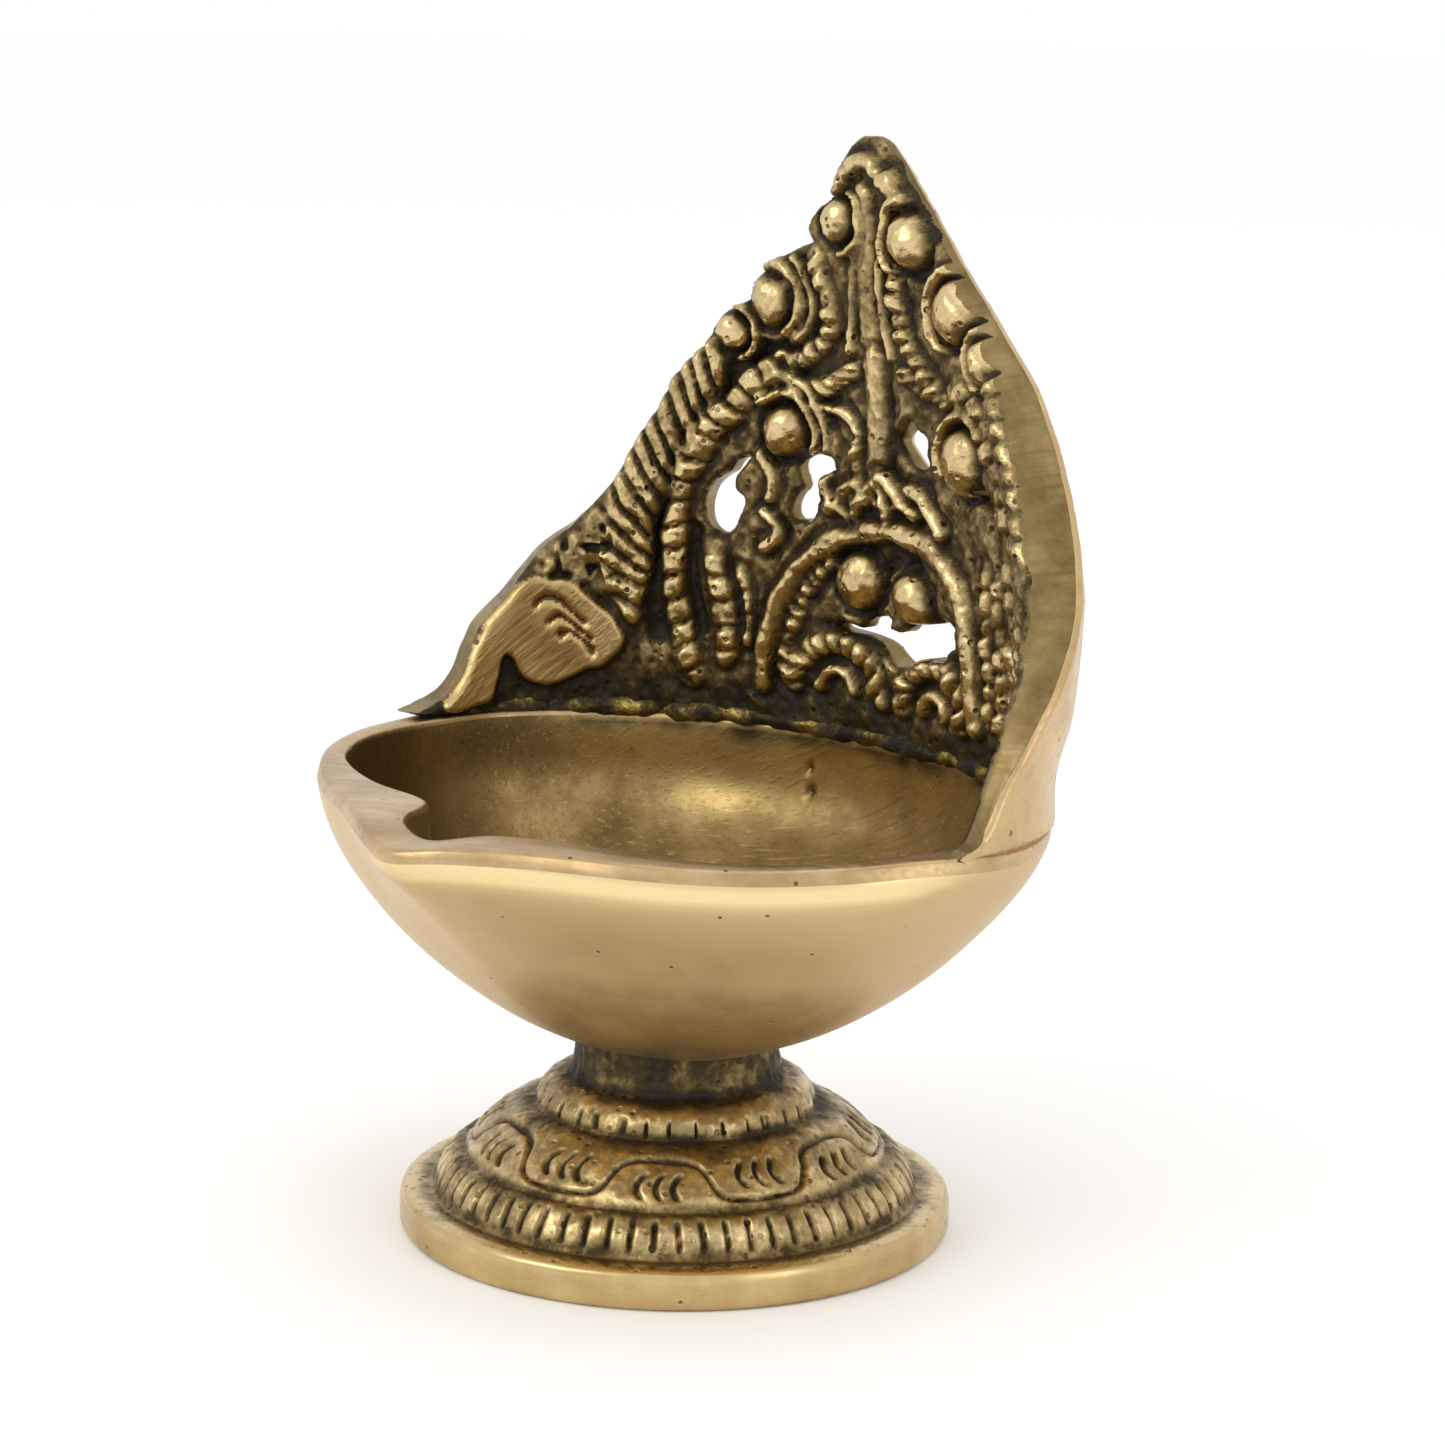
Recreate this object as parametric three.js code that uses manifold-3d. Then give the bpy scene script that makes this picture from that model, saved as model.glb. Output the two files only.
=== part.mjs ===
// Cast-brass diya: an oil bowl with a pinched wick spout, a pointed openwork back plate brazed on the
// bowl's rear rim, and a hollow pedestal foot bolted up into a boss under the bowl.
// Millimetres, +Z up. The spout points along -Y and the back plate stands at +Y.
import * as THREE from "three";
import { mergeVertices } from "three/addons/utils/BufferGeometryUtils.js";
import { TessellateModifier } from "three/addons/modifiers/TessellateModifier.js";
import Module from "manifold-3d";

const wasm = await Module();
wasm.setup();

// ---- Driving dimensions -------------------------------------------------------------------------
const FOOT_R = 23.4; // outer radius of the foot's flange
const FLANGE_H = 3.3; // height of the flange
const NECK_R = 8.8; // outer radius of the neck under the bowl
const NECK_TOP = 18.6; // height of the neck's top face
const FOOT_WALL = 2.2; // wall of the hollow foot casting
const RIM_Z = 38.5; // height of the bowl's rim
const BOWL_BOTTOM = 14.6; // height of the lowest point of the bowl's outside
const FLOOR_Z = 18.8; // height of the lowest point of the bowl's inside
const BOWL_CENTRE_Y = -2; // centre of the rim's plan, measured from the foot's axis
const BOTTOM = { x: -2, y: -0.5 }; // the bowl's lowest point, a little off the foot's axis
const OUT = { side: 36.4, front: 27.5, back: 29.4 }; // half-axes of the outer plan
const IN = { side: 32.7, front: 21.5, back: 26.4 }; // half-axes of the inner plan
const SECTION = { fall: 1.5, round: 0.55 }; // exponents of the wall's curve from the rim to the bottom
const SPOUT_X = 3; // the hand-pinched spout sits a little to one side
const SPOUT_OUT = 5.2; // how far the spout's nose stands out of the plan
const SPOUT_HALF = 6.5; // half-width over which the nose dies out
const GROOVE = { half: 4.6, reach: 28.9, floor: 30.5 }; // wick groove: half-width, reach, floor height
const SPOUT_WALL = 2; // metal kept between the wick groove and the bowl's outside
const BRAZE = 0.8; // thickness of the brazed joint between rim and plate
const PLATE = { side: 34, depth: 24.5, y: -0.9, lean: 0.085, wall: 3.6 }; // inner face and wall
const SWELL = [[39, 0.7], [46, 1.05], [55, 1.4], [62, 1.3], [72, 1.0], [80, 0.58], [92, 0.45]]; // of the wall
const THIN_SIDE = 0.75; // share of the wall's thickness left at the plate's ends
const THICK_BACK = 1.1; // share of it at the middle of the back
const PLATE_TOP = 91.6; // height of the plate's tip
const BOSS_R = 4.6; // radius of the tapped boss under the bowl
const BOSS_BOTTOM = 9.6; // height of the boss's lower face
const BOLT_R = 2; // shank radius of the bolt
const BOLT_HEAD = { r: 3.9, h: 2.4 }; // pan head of the bolt
const CLEAR = 0.3; // gap between pieces that touch

// ---- Solid helpers --------------------------------------------------------------------------------
function solidOf(geometry) {
  const bare = geometry.clone();
  for (const name of ["normal", "uv"]) bare.deleteAttribute(name);
  const merged = mergeVertices(bare, 1e-3);
  return new wasm.Manifold(
    new wasm.Mesh({
      numProp: 3,
      vertProperties: merged.attributes.position.array,
      triVerts: new Uint32Array(merged.index.array),
    }),
  );
}

function geometryOf(solid) {
  const mesh = solid.getMesh();
  const positions = new Float32Array(mesh.numVert * 3);
  for (let i = 0; i < mesh.numVert; i++) {
    const start = i * mesh.numProp;
    positions.set(mesh.vertProperties.subarray(start, start + 3), i * 3);
  }
  const geometry = new THREE.BufferGeometry();
  geometry.setAttribute("position", new THREE.BufferAttribute(positions, 3));
  geometry.setIndex(new THREE.BufferAttribute(new Uint32Array(mesh.triVerts), 1));
  return geometry;
}

// A solid of revolution about Z from [radius, height] points listed upwards along the outside.
function lathe(points, segments) {
  const profile = points.map(([r, z]) => new THREE.Vector2(r, z));
  return solidOf(new THREE.LatheGeometry(profile, segments).rotateX(Math.PI / 2));
}

function cylinder(radius, low, high, segments) {
  const shape = new THREE.CylinderGeometry(radius, radius, high - low, segments);
  return solidOf(shape.rotateX(Math.PI / 2).translate(0, 0, (low + high) / 2));
}

// ---- Bowl -----------------------------------------------------------------------------------------
const BOWL_STEPS = 60; // divisions round the plan
const BOWL_RINGS = 9; // divisions down the wall

// Radius of an ellipse-like plan with different front and back half-axes, about the bowl's centre.
function planRadius(plan, angle) {
  const depth = Math.sin(angle) < 0 ? plan.front : plan.back;
  return 1 / Math.hypot(Math.cos(angle) / plan.side, Math.sin(angle) / depth);
}

// The nose of the spout, which fades towards the bottom of the bowl.
function noseReach(x, y, down) {
  if (y > 0) return 0;
  const across = Math.abs(x - SPOUT_X) / SPOUT_HALF;
  return SPOUT_OUT * Math.exp(-(across ** 1.5)) * Math.max(0, 1 - down * 1.5) ** 1.2;
}

// A closed cup-shaped lump: rings from the rim down to a pole, closed by a flat lid at the top.
function lump(plan, top, rim, bottom, nose) {
  const positions = [];
  const index = [];
  const ring = (level, shrink, down) => {
    for (let i = 0; i < BOWL_STEPS; i++) {
      const angle = (i / BOWL_STEPS) * 2 * Math.PI;
      const r = planRadius(plan, angle) * shrink;
      const x = r * Math.cos(angle);
      const y = r * Math.sin(angle);
      const cx = BOTTOM.x * down;
      const cy = BOWL_CENTRE_Y + (BOTTOM.y - BOWL_CENTRE_Y) * down;
      positions.push(x + cx, y + cy - (nose ? noseReach(x, y, down) : 0), level);
    }
  };
  if (top > rim) ring(top, 1, 0);
  for (let k = 0; k < BOWL_RINGS; k++) {
    const down = Math.sin((k / BOWL_RINGS) * (Math.PI / 2));
    ring(rim - (rim - bottom) * down, (1 - down ** SECTION.fall) ** SECTION.round, down);
  }
  const rings = positions.length / 3 / BOWL_STEPS;
  for (let k = 0; k + 1 < rings; k++)
    for (let i = 0; i < BOWL_STEPS; i++) {
      const a = k * BOWL_STEPS + i;
      const b = k * BOWL_STEPS + ((i + 1) % BOWL_STEPS);
      index.push(a, a + BOWL_STEPS, b, b, a + BOWL_STEPS, b + BOWL_STEPS);
    }
  const pole = positions.length / 3;
  positions.push(BOTTOM.x, BOTTOM.y, bottom, 0, BOWL_CENTRE_Y, Math.max(top, rim));
  const last = (rings - 1) * BOWL_STEPS;
  for (let i = 0; i < BOWL_STEPS; i++) {
    const j = (i + 1) % BOWL_STEPS;
    index.push(last + i, pole, last + j, pole + 1, i, j);
  }
  const geometry = new THREE.BufferGeometry();
  geometry.setAttribute("position", new THREE.Float32BufferAttribute(positions, 3));
  geometry.setIndex(index);
  return solidOf(geometry);
}

// The V-shaped channel in the rim that holds the wick, pointed towards the spout's tip. Its floor
// follows the bowl's outside towards the tip, so that the wall under the nose stays whole.
function wickGroove() {
  const shape = new THREE.Shape();
  const mouth = BOWL_CENTRE_Y - IN.front;
  const { half, reach } = GROOVE;
  shape.moveTo(SPOUT_X - half - 1.5, mouth + 6);
  shape.lineTo(SPOUT_X - half, mouth + 1);
  shape.quadraticCurveTo(SPOUT_X - 2.4, 1 - reach, SPOUT_X - 0.8, -reach);
  shape.lineTo(SPOUT_X + 0.8, -reach);
  shape.quadraticCurveTo(SPOUT_X + 2.4, 1 - reach, SPOUT_X + half, mouth + 1);
  shape.lineTo(SPOUT_X + half + 1.5, mouth + 6);
  const depth = RIM_Z + 2 - GROOVE.floor;
  const block = new THREE.ExtrudeGeometry(shape, { depth, bevelEnabled: false, curveSegments: 8 });
  const { side, front, back } = OUT;
  const within = lump(
    { side: side - SPOUT_WALL, front: front - SPOUT_WALL, back: back - SPOUT_WALL },
    RIM_Z + 2, RIM_Z, BOWL_BOTTOM + SPOUT_WALL, true,
  );
  return solidOf(block.translate(0, 0, GROOVE.floor)).intersect(within);
}

function makeBowl() {
  const boss = cylinder(BOSS_R, BOSS_BOTTOM, BOWL_BOTTOM + 2.5, 32);
  const tapped = cylinder(BOLT_R, BOSS_BOTTOM - 1, BOWL_BOTTOM + 2, 24);
  return lump(OUT, RIM_Z, RIM_Z, BOWL_BOTTOM, true)
    .add(boss)
    .subtract(lump(IN, RIM_Z + 2, RIM_Z, FLOOR_Z, false))
    .subtract(wickGroove())
    .subtract(tapped);
}

// ---- Back plate -----------------------------------------------------------------------------------
// How thick the wall is at a height, as a share of its nominal thickness.
function swellAt(z) {
  const next = SWELL.findIndex(([height]) => height > z);
  if (next < 1) return SWELL[0][1];
  const [low, high] = [SWELL[next - 1], SWELL[next]];
  return low[1] + ((high[1] - low[1]) * (z - low[0])) / (high[0] - low[0]);
}

// The plate is designed flat and facing +Z: u runs sideways, z is the height, and its inner face lies
// at 0. bend() wraps that flat solid round the bowl's rear rim and leans it forwards.
function bend(geometry) {
  const p = geometry.attributes.position;
  for (let i = 0; i < p.count; i++) {
    const [u, z] = [p.getX(i), p.getY(i)];
    const depth = -p.getZ(i);
    const n = depth > 0 ? depth * swellAt(z) : depth;
    const angle = u / PLATE.side;
    const y = PLATE.y - PLATE.lean * (z - 42) + (PLATE.depth + n * THICK_BACK) * Math.cos(angle);
    p.setXYZ(i, (PLATE.side + n * THIN_SIDE) * Math.sin(angle), y, z);
  }
  return geometry;
}

// Half of the pointed outline, from the tip down to the end on the rim, as [u, z].
const OUTLINE = [
  [2.6, 90.6], [4.6, 87.4], [7.6, 83.6], [11.0, 80.9], [14.8, 77.6], [17.6, 75.0], [20.2, 71.8],
  [24.0, 67.2], [27.6, 62.8], [31.4, 58.2], [37.0, 54.0], [42.4, 49.4], [46.8, 45.2], [49.6, 41.4],
];
const PLATE_BOTTOM = RIM_Z + BRAZE;
const PLATE_END = 50.4; // where the outline meets the rim

// The pierced openings, each a ring of points [u, z].
const OPENINGS = [
  [
    [-15.2, 62.9], [-17.2, 61.3], [-19.8, 59.1], [-19.8, 57.0], [-18.2, 55.7], [-16.4, 57.5],
    [-15.7, 59.4], [-16.9, 60.6],
  ],
  [
    [-9.6, 62.8], [-7.5, 63.6], [-5.5, 63.0], [-7.2, 61.8], [-8.0, 58.6], [-9.2, 57.6],
    [-10.6, 58.3], [-9.6, 60.5],
  ],
  [[4.4, 67.6], [6.5, 66.2], [6.4, 64.4], [5.1, 63.6], [2.6, 65.8]],
  [[14.4, 62.9], [17.2, 62.9], [18.9, 60.6], [22.4, 59.6], [21.1, 57.5], [18.4, 57.5], [17.0, 60.8]],
  [
    [-5.6, 48.5], [-2.4, 49.4], [1.6, 49.6], [6.2, 50.0], [9.2, 50.6], [9.9, 48.9],
    [8.3, 47.4], [4.4, 46.7], [1.8, 45.9], [-0.8, 47.5],
  ],
];

// Raised work on the inner face: bosses as [u, z, radius, proud] and bands as paths of [u, z].
const BOSSES = [
  [-3.8, 84.3, 1.7, 1.5], [5.6, 83.0, 2.4, 2.0], [-11.2, 77.1, 2.6, 2.0], [12.2, 77.4, 2.7, 2.1],
  [-16.2, 74.0, 1.7, 1.6], [17.4, 73.4, 1.8, 1.6], [-9.9, 65.8, 2.7, 2.2], [13.6, 65.4, 2.9, 2.2],
  [-2.5, 52.8, 2.7, 1.9], [4.5, 52.2, 2.5, 2.1],
];
const BANDS = [
  {
    half: 1.5,
    proud: 1.0,
    path: [
      [-14.0, 41.5], [-13.4, 45.6], [-12.2, 49.3], [-10.1, 52.7], [-7.1, 55.2], [-3.5, 56.9],
      [0.4, 57.7], [4.4, 57.6], [8.1, 56.6], [11.2, 54.6], [12.9, 51.4], [13.6, 47.6],
      [14.0, 41.5],
    ],
  },
  {
    half: 1.4,
    proud: 1.1,
    path: [
      [-11.2, 70.7], [-13.9, 69.4], [-15.8, 67.5], [-18.5, 65.6], [-20.5, 63.2], [-22.0, 60.4],
      [-22.9, 57.6], [-23.5, 54.4], [-23.6, 51.1], [-23.2, 47.9], [-22.6, 45.2], [-21.8, 42.4],
    ],
  },
  {
    half: 1.4,
    proud: 1.1,
    path: [
      [11.8, 70.7], [14.4, 69.4], [16.8, 67.5], [19.2, 65.6], [21.2, 63.2], [22.9, 60.4],
      [24.0, 57.6], [24.6, 54.4], [24.8, 51.1], [24.6, 47.9], [24.0, 45.2], [23.2, 42.4],
    ],
  },
];

function flatPlate() {
  const points = [
    ...OUTLINE.map(([u, z]) => [-u, z]),
    [-PLATE_END, PLATE_BOTTOM],
    [PLATE_END, PLATE_BOTTOM],
    ...OUTLINE.toReversed(),
    [1.2, PLATE_TOP],
    [-1.2, PLATE_TOP],
  ];
  const shape = new THREE.Shape(points.map(([u, z]) => new THREE.Vector2(u, z)));
  shape.holes = OPENINGS.map((ring) => new THREE.Path(ring.map(([u, z]) => new THREE.Vector2(u, z))));
  const slab = new THREE.ExtrudeGeometry(shape, { depth: PLATE.wall, bevelEnabled: false });
  return solidOf(slab.translate(0, 0, -PLATE.wall));
}

// A low dome on the inner face, flattened to the height it stands proud.
function boss([u, z, radius, proud]) {
  const dome = new THREE.SphereGeometry(radius, 9, 6).scale(1, 1, (proud + 0.4) / radius);
  return solidOf(dome.translate(u, z, -0.4));
}

// A half-round band along a path on the inner face.
function band({ half, proud, path }) {
  const curve = new THREE.CatmullRomCurve3(path.map(([u, z]) => new THREE.Vector3(u, z, -0.3)));
  const section = new THREE.Shape();
  const sides = 5;
  for (let i = 0; i < sides; i++) {
    const a = (i / sides) * 2 * Math.PI;
    section[i ? "lineTo" : "moveTo"](Math.cos(a) * (proud + 0.3), Math.sin(a) * half);
  }
  const steps = Math.round(curve.getLength() / 3.2);
  return solidOf(new THREE.ExtrudeGeometry(section, { steps, extrudePath: curve }));
}

function makePlate() {
  let flat = flatPlate();
  for (const b of BOSSES) flat = flat.add(boss(b));
  for (const b of BANDS) flat = flat.add(band(b));
  const floor = new THREE.BoxGeometry(2 * PLATE_END + 8, 10, 20);
  flat = flat.subtract(solidOf(floor.translate(0, PLATE_BOTTOM - 5, 0)));
  const fine = new TessellateModifier(5, 10).modify(geometryOf(flat).toNonIndexed());
  return solidOf(bend(fine));
}

// ---- Brazed joint ---------------------------------------------------------------------------------
// The filler's section as [depth behind the inner face, height above the rim], slightly crowned.
const BEAD = [[0.5, 0.06], [1.6, 0], [2.4, 0.06], [2.4, BRAZE - 0.06], [1.6, BRAZE], [0.5, BRAZE - 0.06]];

// Filler between the rim and the plate from one place along the rim to another.
function brazeBead(from, to) {
  const steps = Math.max(5, Math.round(Math.abs(to - from) / 3));
  const sides = BEAD.length;
  const positions = [];
  const index = [];
  for (let i = 0; i <= steps; i++)
    for (const [n, z] of BEAD) positions.push(from + ((to - from) * i) / steps, RIM_Z + z, -n);
  for (let i = 0; i < steps; i++)
    for (let k = 0; k < sides; k++) {
      const [a, b] = [i * sides + k, i * sides + ((k + 1) % sides)];
      index.push(a, b, a + sides, b, b + sides, a + sides);
    }
  const last = steps * sides;
  for (let k = 1; k + 1 < sides; k++) index.push(0, k + 1, k, last, last + k, last + k + 1);
  const geometry = new THREE.BufferGeometry();
  geometry.setAttribute("position", new THREE.Float32BufferAttribute(positions, 3));
  geometry.setIndex(index);
  return solidOf(bend(geometry));
}

// ---- Foot and bolt --------------------------------------------------------------------------------
const HOLLOW_TOP = BOSS_BOTTOM - CLEAR - FOOT_WALL - 0.2; // underside of the web that the bolt clamps
function makeFoot() {
  const outside = lathe(
    [
      [0, 0], [FOOT_R - 0.4, 0], [FOOT_R, 0.5], [FOOT_R, FLANGE_H - 0.7], [FOOT_R - 0.7, FLANGE_H],
      [20.6, FLANGE_H + 0.3], [20.1, 5.0], [19.2, 6.2], [18.2, 6.6], [17.2, 7.6], [16.0, 8.7],
      [14.6, 9.6], [12.2, 10.5], [11.8, 11.6], [10.9, 12.6], [9.3, 13.2], [NECK_R, 13.6],
      [NECK_R, NECK_TOP], [0, NECK_TOP],
    ],
    56,
  );
  const hollow = lathe(
    [
      [0, -1], [20.4, -1], [20.2, 1.6], [17.6, 3.8], [15.6, 6.2], [13.0, HOLLOW_TOP - 0.6],
      [11.4, HOLLOW_TOP], [0, HOLLOW_TOP],
    ],
    40,
  );
  return outside
    .subtract(hollow)
    .subtract(cylinder(BOSS_R + CLEAR, BOSS_BOTTOM - CLEAR, NECK_TOP + 1, 32))
    .subtract(cylinder(BOLT_R + CLEAR, 0, NECK_TOP, 24))
    .subtract(seatOfBowl());
}

// The bowl's outside, let into the neck with clearance.
function seatOfBowl() {
  return lump(
    { side: OUT.side + CLEAR, front: OUT.front + CLEAR, back: OUT.back + CLEAR },
    RIM_Z, RIM_Z, BOWL_BOTTOM - CLEAR, false,
  );
}

function makeBolt() {
  const headTop = HOLLOW_TOP - 0.05;
  const { r, h } = BOLT_HEAD;
  const shank = BOLT_R - 0.05;
  const tip = BOWL_BOTTOM + 1.6;
  const body = lathe(
    [
      [0, headTop - h], [r - 1.2, headTop - h], [r - 0.3, headTop - h + 0.6], [r, headTop - h + 1.4],
      [r, headTop], [shank, headTop], [shank, tip - 0.6], [shank - 0.6, tip], [0, tip],
    ],
    24,
  );
  const slot = new THREE.BoxGeometry(2 * r + 1, 1.1, 2.2).translate(0, 0, headTop - h);
  return body.subtract(solidOf(slot));
}

// ---- Materials and assembly -------------------------------------------------------------------------
const polished = { color: 0xc9a263, metalness: 1, roughness: 0.28 };
const antique = { color: 0x8f7240, metalness: 1, roughness: 0.45 };
const filler = { color: 0xb79a45, metalness: 1, roughness: 0.5 };

const root = new THREE.Group();
function place(name, solid, look) {
  const mesh = new THREE.Mesh(geometryOf(solid), new THREE.MeshStandardMaterial(look));
  mesh.name = name;
  root.add(mesh);
}

place("bowl", makeBowl(), polished);
place("back_plate", makePlate(), antique);
place("braze_seam_left", brazeBead(-49.5, -26), filler);
place("braze_seam_back", brazeBead(-25.5, 25.5), filler);
place("braze_seam_right", brazeBead(26, 49.5), filler);
place("foot", makeFoot(), antique);
place("foot_bolt", makeBolt(), polished);

// The part's origin is the centre of its footprint's bounding box, on the surface that it stands on.
const size = new THREE.Box3().setFromObject(root);
root.position.set(-(size.min.x + size.max.x) / 2, -(size.min.y + size.max.y) / 2, 0);

export default root;
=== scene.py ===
"""Looks of the cast-brass diya: polished bowl, openwork back plate, brazed seam and engraved foot.

Shapes are worked out in millimetres about the foot's axis (spout towards -Y, plate at +Y) and are
placed in the frame by put().
"""
import math

import bpy
import numpy as np
from mathutils import Matrix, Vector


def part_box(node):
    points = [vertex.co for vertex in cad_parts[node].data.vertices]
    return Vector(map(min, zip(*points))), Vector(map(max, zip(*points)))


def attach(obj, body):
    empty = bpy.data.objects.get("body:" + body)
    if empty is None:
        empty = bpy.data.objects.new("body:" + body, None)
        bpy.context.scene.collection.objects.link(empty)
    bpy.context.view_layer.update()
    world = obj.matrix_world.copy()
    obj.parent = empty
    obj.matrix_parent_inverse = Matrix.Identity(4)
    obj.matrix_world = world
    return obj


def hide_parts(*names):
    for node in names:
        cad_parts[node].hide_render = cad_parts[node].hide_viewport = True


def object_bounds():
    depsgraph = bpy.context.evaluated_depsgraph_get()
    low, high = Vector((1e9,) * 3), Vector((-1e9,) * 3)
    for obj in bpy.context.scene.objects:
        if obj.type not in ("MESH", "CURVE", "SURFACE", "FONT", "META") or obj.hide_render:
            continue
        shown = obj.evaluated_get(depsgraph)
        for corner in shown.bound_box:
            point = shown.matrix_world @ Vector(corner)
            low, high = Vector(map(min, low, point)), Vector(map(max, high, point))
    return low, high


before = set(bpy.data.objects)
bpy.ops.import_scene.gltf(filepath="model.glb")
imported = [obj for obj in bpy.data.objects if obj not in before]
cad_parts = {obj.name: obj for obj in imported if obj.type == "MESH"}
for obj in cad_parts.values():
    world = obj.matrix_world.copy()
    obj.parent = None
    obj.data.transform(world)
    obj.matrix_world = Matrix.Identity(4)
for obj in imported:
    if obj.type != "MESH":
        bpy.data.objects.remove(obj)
cad_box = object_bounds()

foot_lo, foot_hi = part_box("foot")
AXIS = [(foot_lo[i] + foot_hi[i]) * 500 for i in (0, 1)]  # the foot's axis, in mm
RIM_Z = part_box("bowl")[1][2] * 1000
TOP_Z = cad_box[1][2] * 1000


# ---- Numbers: splines, distances and noise ----
def spline(points, step=0.4, closed=False):
    """Catmull-Rom curve through the points, resampled about every step mm."""
    p = np.asarray(points, float)
    if closed:
        p = np.vstack([p[-1], p, p[0], p[1]])
    else:
        p = np.vstack([2 * p[0] - p[1], p, 2 * p[-1] - p[-2]])
    out = []
    for a, b, c, d in zip(p[:-3], p[1:-2], p[2:-1], p[3:]):
        n = max(2, int(np.linalg.norm(c - b) / step))
        t = (np.arange(n) / n)[:, None]
        out.append(0.5 * (2 * b + (c - a) * t + (2 * a - 5 * b + 4 * c - d) * t**2
                          + (3 * b - a - 3 * c + d) * t**3))
    if not closed:
        out.append(p[-2:-1])
    return np.vstack(out)


def nearest(points, path, closed=False):
    """Distance, arc length and side of each point with respect to a dense polyline."""
    ends = np.vstack([path, path[:1]]) if closed else path
    best = np.full(len(points), 1e9)
    length = np.zeros(len(points))
    side = np.zeros(len(points))
    start = 0.0
    for a, b in zip(ends[:-1], ends[1:]):
        d = b - a
        size = math.hypot(*d)
        if size < 1e-9:
            continue
        rel = points - a
        t = np.clip(rel @ d / size**2, 0, 1)
        off = rel - t[:, None] * d
        dist = np.hypot(off[:, 0], off[:, 1])
        near = dist < best
        best[near] = dist[near]
        length[near] = start + t[near] * size
        side[near] = np.sign(d[0] * rel[near, 1] - d[1] * rel[near, 0])
        start += size
    return best, length, side


def inside(points, ring):
    """Whether each point lies inside a closed polyline."""
    odd = np.zeros(len(points), bool)
    x, y = points[:, 0], points[:, 1]
    for (ax, ay), (bx, by) in zip(ring, np.roll(ring, -1, axis=0)):
        if ay != by:
            odd ^= ((ay > y) != (by > y)) & (x < (bx - ax) * (y - ay) / (by - ay) + ax)
    return odd


def signed(points, ring):
    """Distance to a closed polyline, positive inside."""
    dist = nearest(points, ring, closed=True)[0]
    return np.where(inside(points, ring), dist, -dist)


def noise(points, size, seed):
    """Smooth value noise from -1 to 1 with cells of the given size in mm."""
    p = points / size + 1000 + seed * 17.3
    cell = np.floor(p).astype(np.int64)
    f = p - cell
    f = f * f * (3 - 2 * f)
    total = np.zeros(len(points))
    for corner in np.ndindex((2,) * points.shape[1]):
        c = cell + np.array(corner)
        h = np.full(len(points), seed * 7919 + 12345, np.int64)
        for axis, prime in zip(range(points.shape[1]), (73856093, 19349663, 83492791)):
            h ^= c[:, axis] * prime
        h = (h ^ (h >> 13)) * 1274126177 & 0x7FFFFFFF
        h = (h ^ (h >> 16)) & 0xFFFF
        weight = np.prod(np.where(corner, f, 1 - f), axis=1)
        total += weight * (h / 32767.5 - 1)
    return total


def blur(grid, sigma):
    """Gaussian blur of a 2-D array, sigma in cells."""
    n = int(3 * sigma) + 1
    k = np.exp(-0.5 * (np.arange(-n, n + 1) / sigma) ** 2)
    k /= k.sum()
    for axis in (0, 1):
        pad = [(n, n) if i == axis else (0, 0) for i in (0, 1)]
        grid = np.apply_along_axis(lambda r: np.convolve(r, k, "valid"), axis, np.pad(grid, pad, "edge"))
    return grid


def smooth_step(low, high, x):
    t = np.clip((x - low) / (high - low), 0, 1)
    return t * t * (3 - 2 * t)


# ---- Building meshes ----
def put(name, verts, faces, materials, replaced, attributes=None, face_material=None, sharp=50):
    """Makes a mesh object from mm coordinates about the foot's axis, and hooks it to the frame."""
    mesh = bpy.data.meshes.new(name)
    co = (np.asarray(verts, float) + [AXIS[0], AXIS[1], 0]) * 0.001
    mesh.from_pydata(co.tolist(), [], faces if isinstance(faces, list) else faces.tolist())
    for m in materials:
        mesh.materials.append(m)
    if face_material is not None:
        mesh.polygons.foreach_set("material_index", np.asarray(face_material, np.int32))
    for key, values in (attributes or {}).items():
        layer = mesh.attributes.new(key, "FLOAT", "POINT")
        layer.data.foreach_set("value", np.asarray(values, np.float32))
    mesh.shade_smooth()
    mesh.set_sharp_from_angle(angle=math.radians(sharp))
    mesh.update()
    piece = bpy.data.objects.new(name, mesh)
    bpy.context.scene.collection.objects.link(piece)
    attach(piece, "root")
    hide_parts(*replaced)


def tube_grid(rows, columns):
    """Quads of a grid that closes round its columns."""
    i = np.arange(rows - 1)[:, None] * columns
    j = np.arange(columns)[None, :]
    k = (j + 1) % columns
    return np.stack([i + j, i + k, i + k + columns, i + j + columns], -1).reshape(-1, 4)


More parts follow.
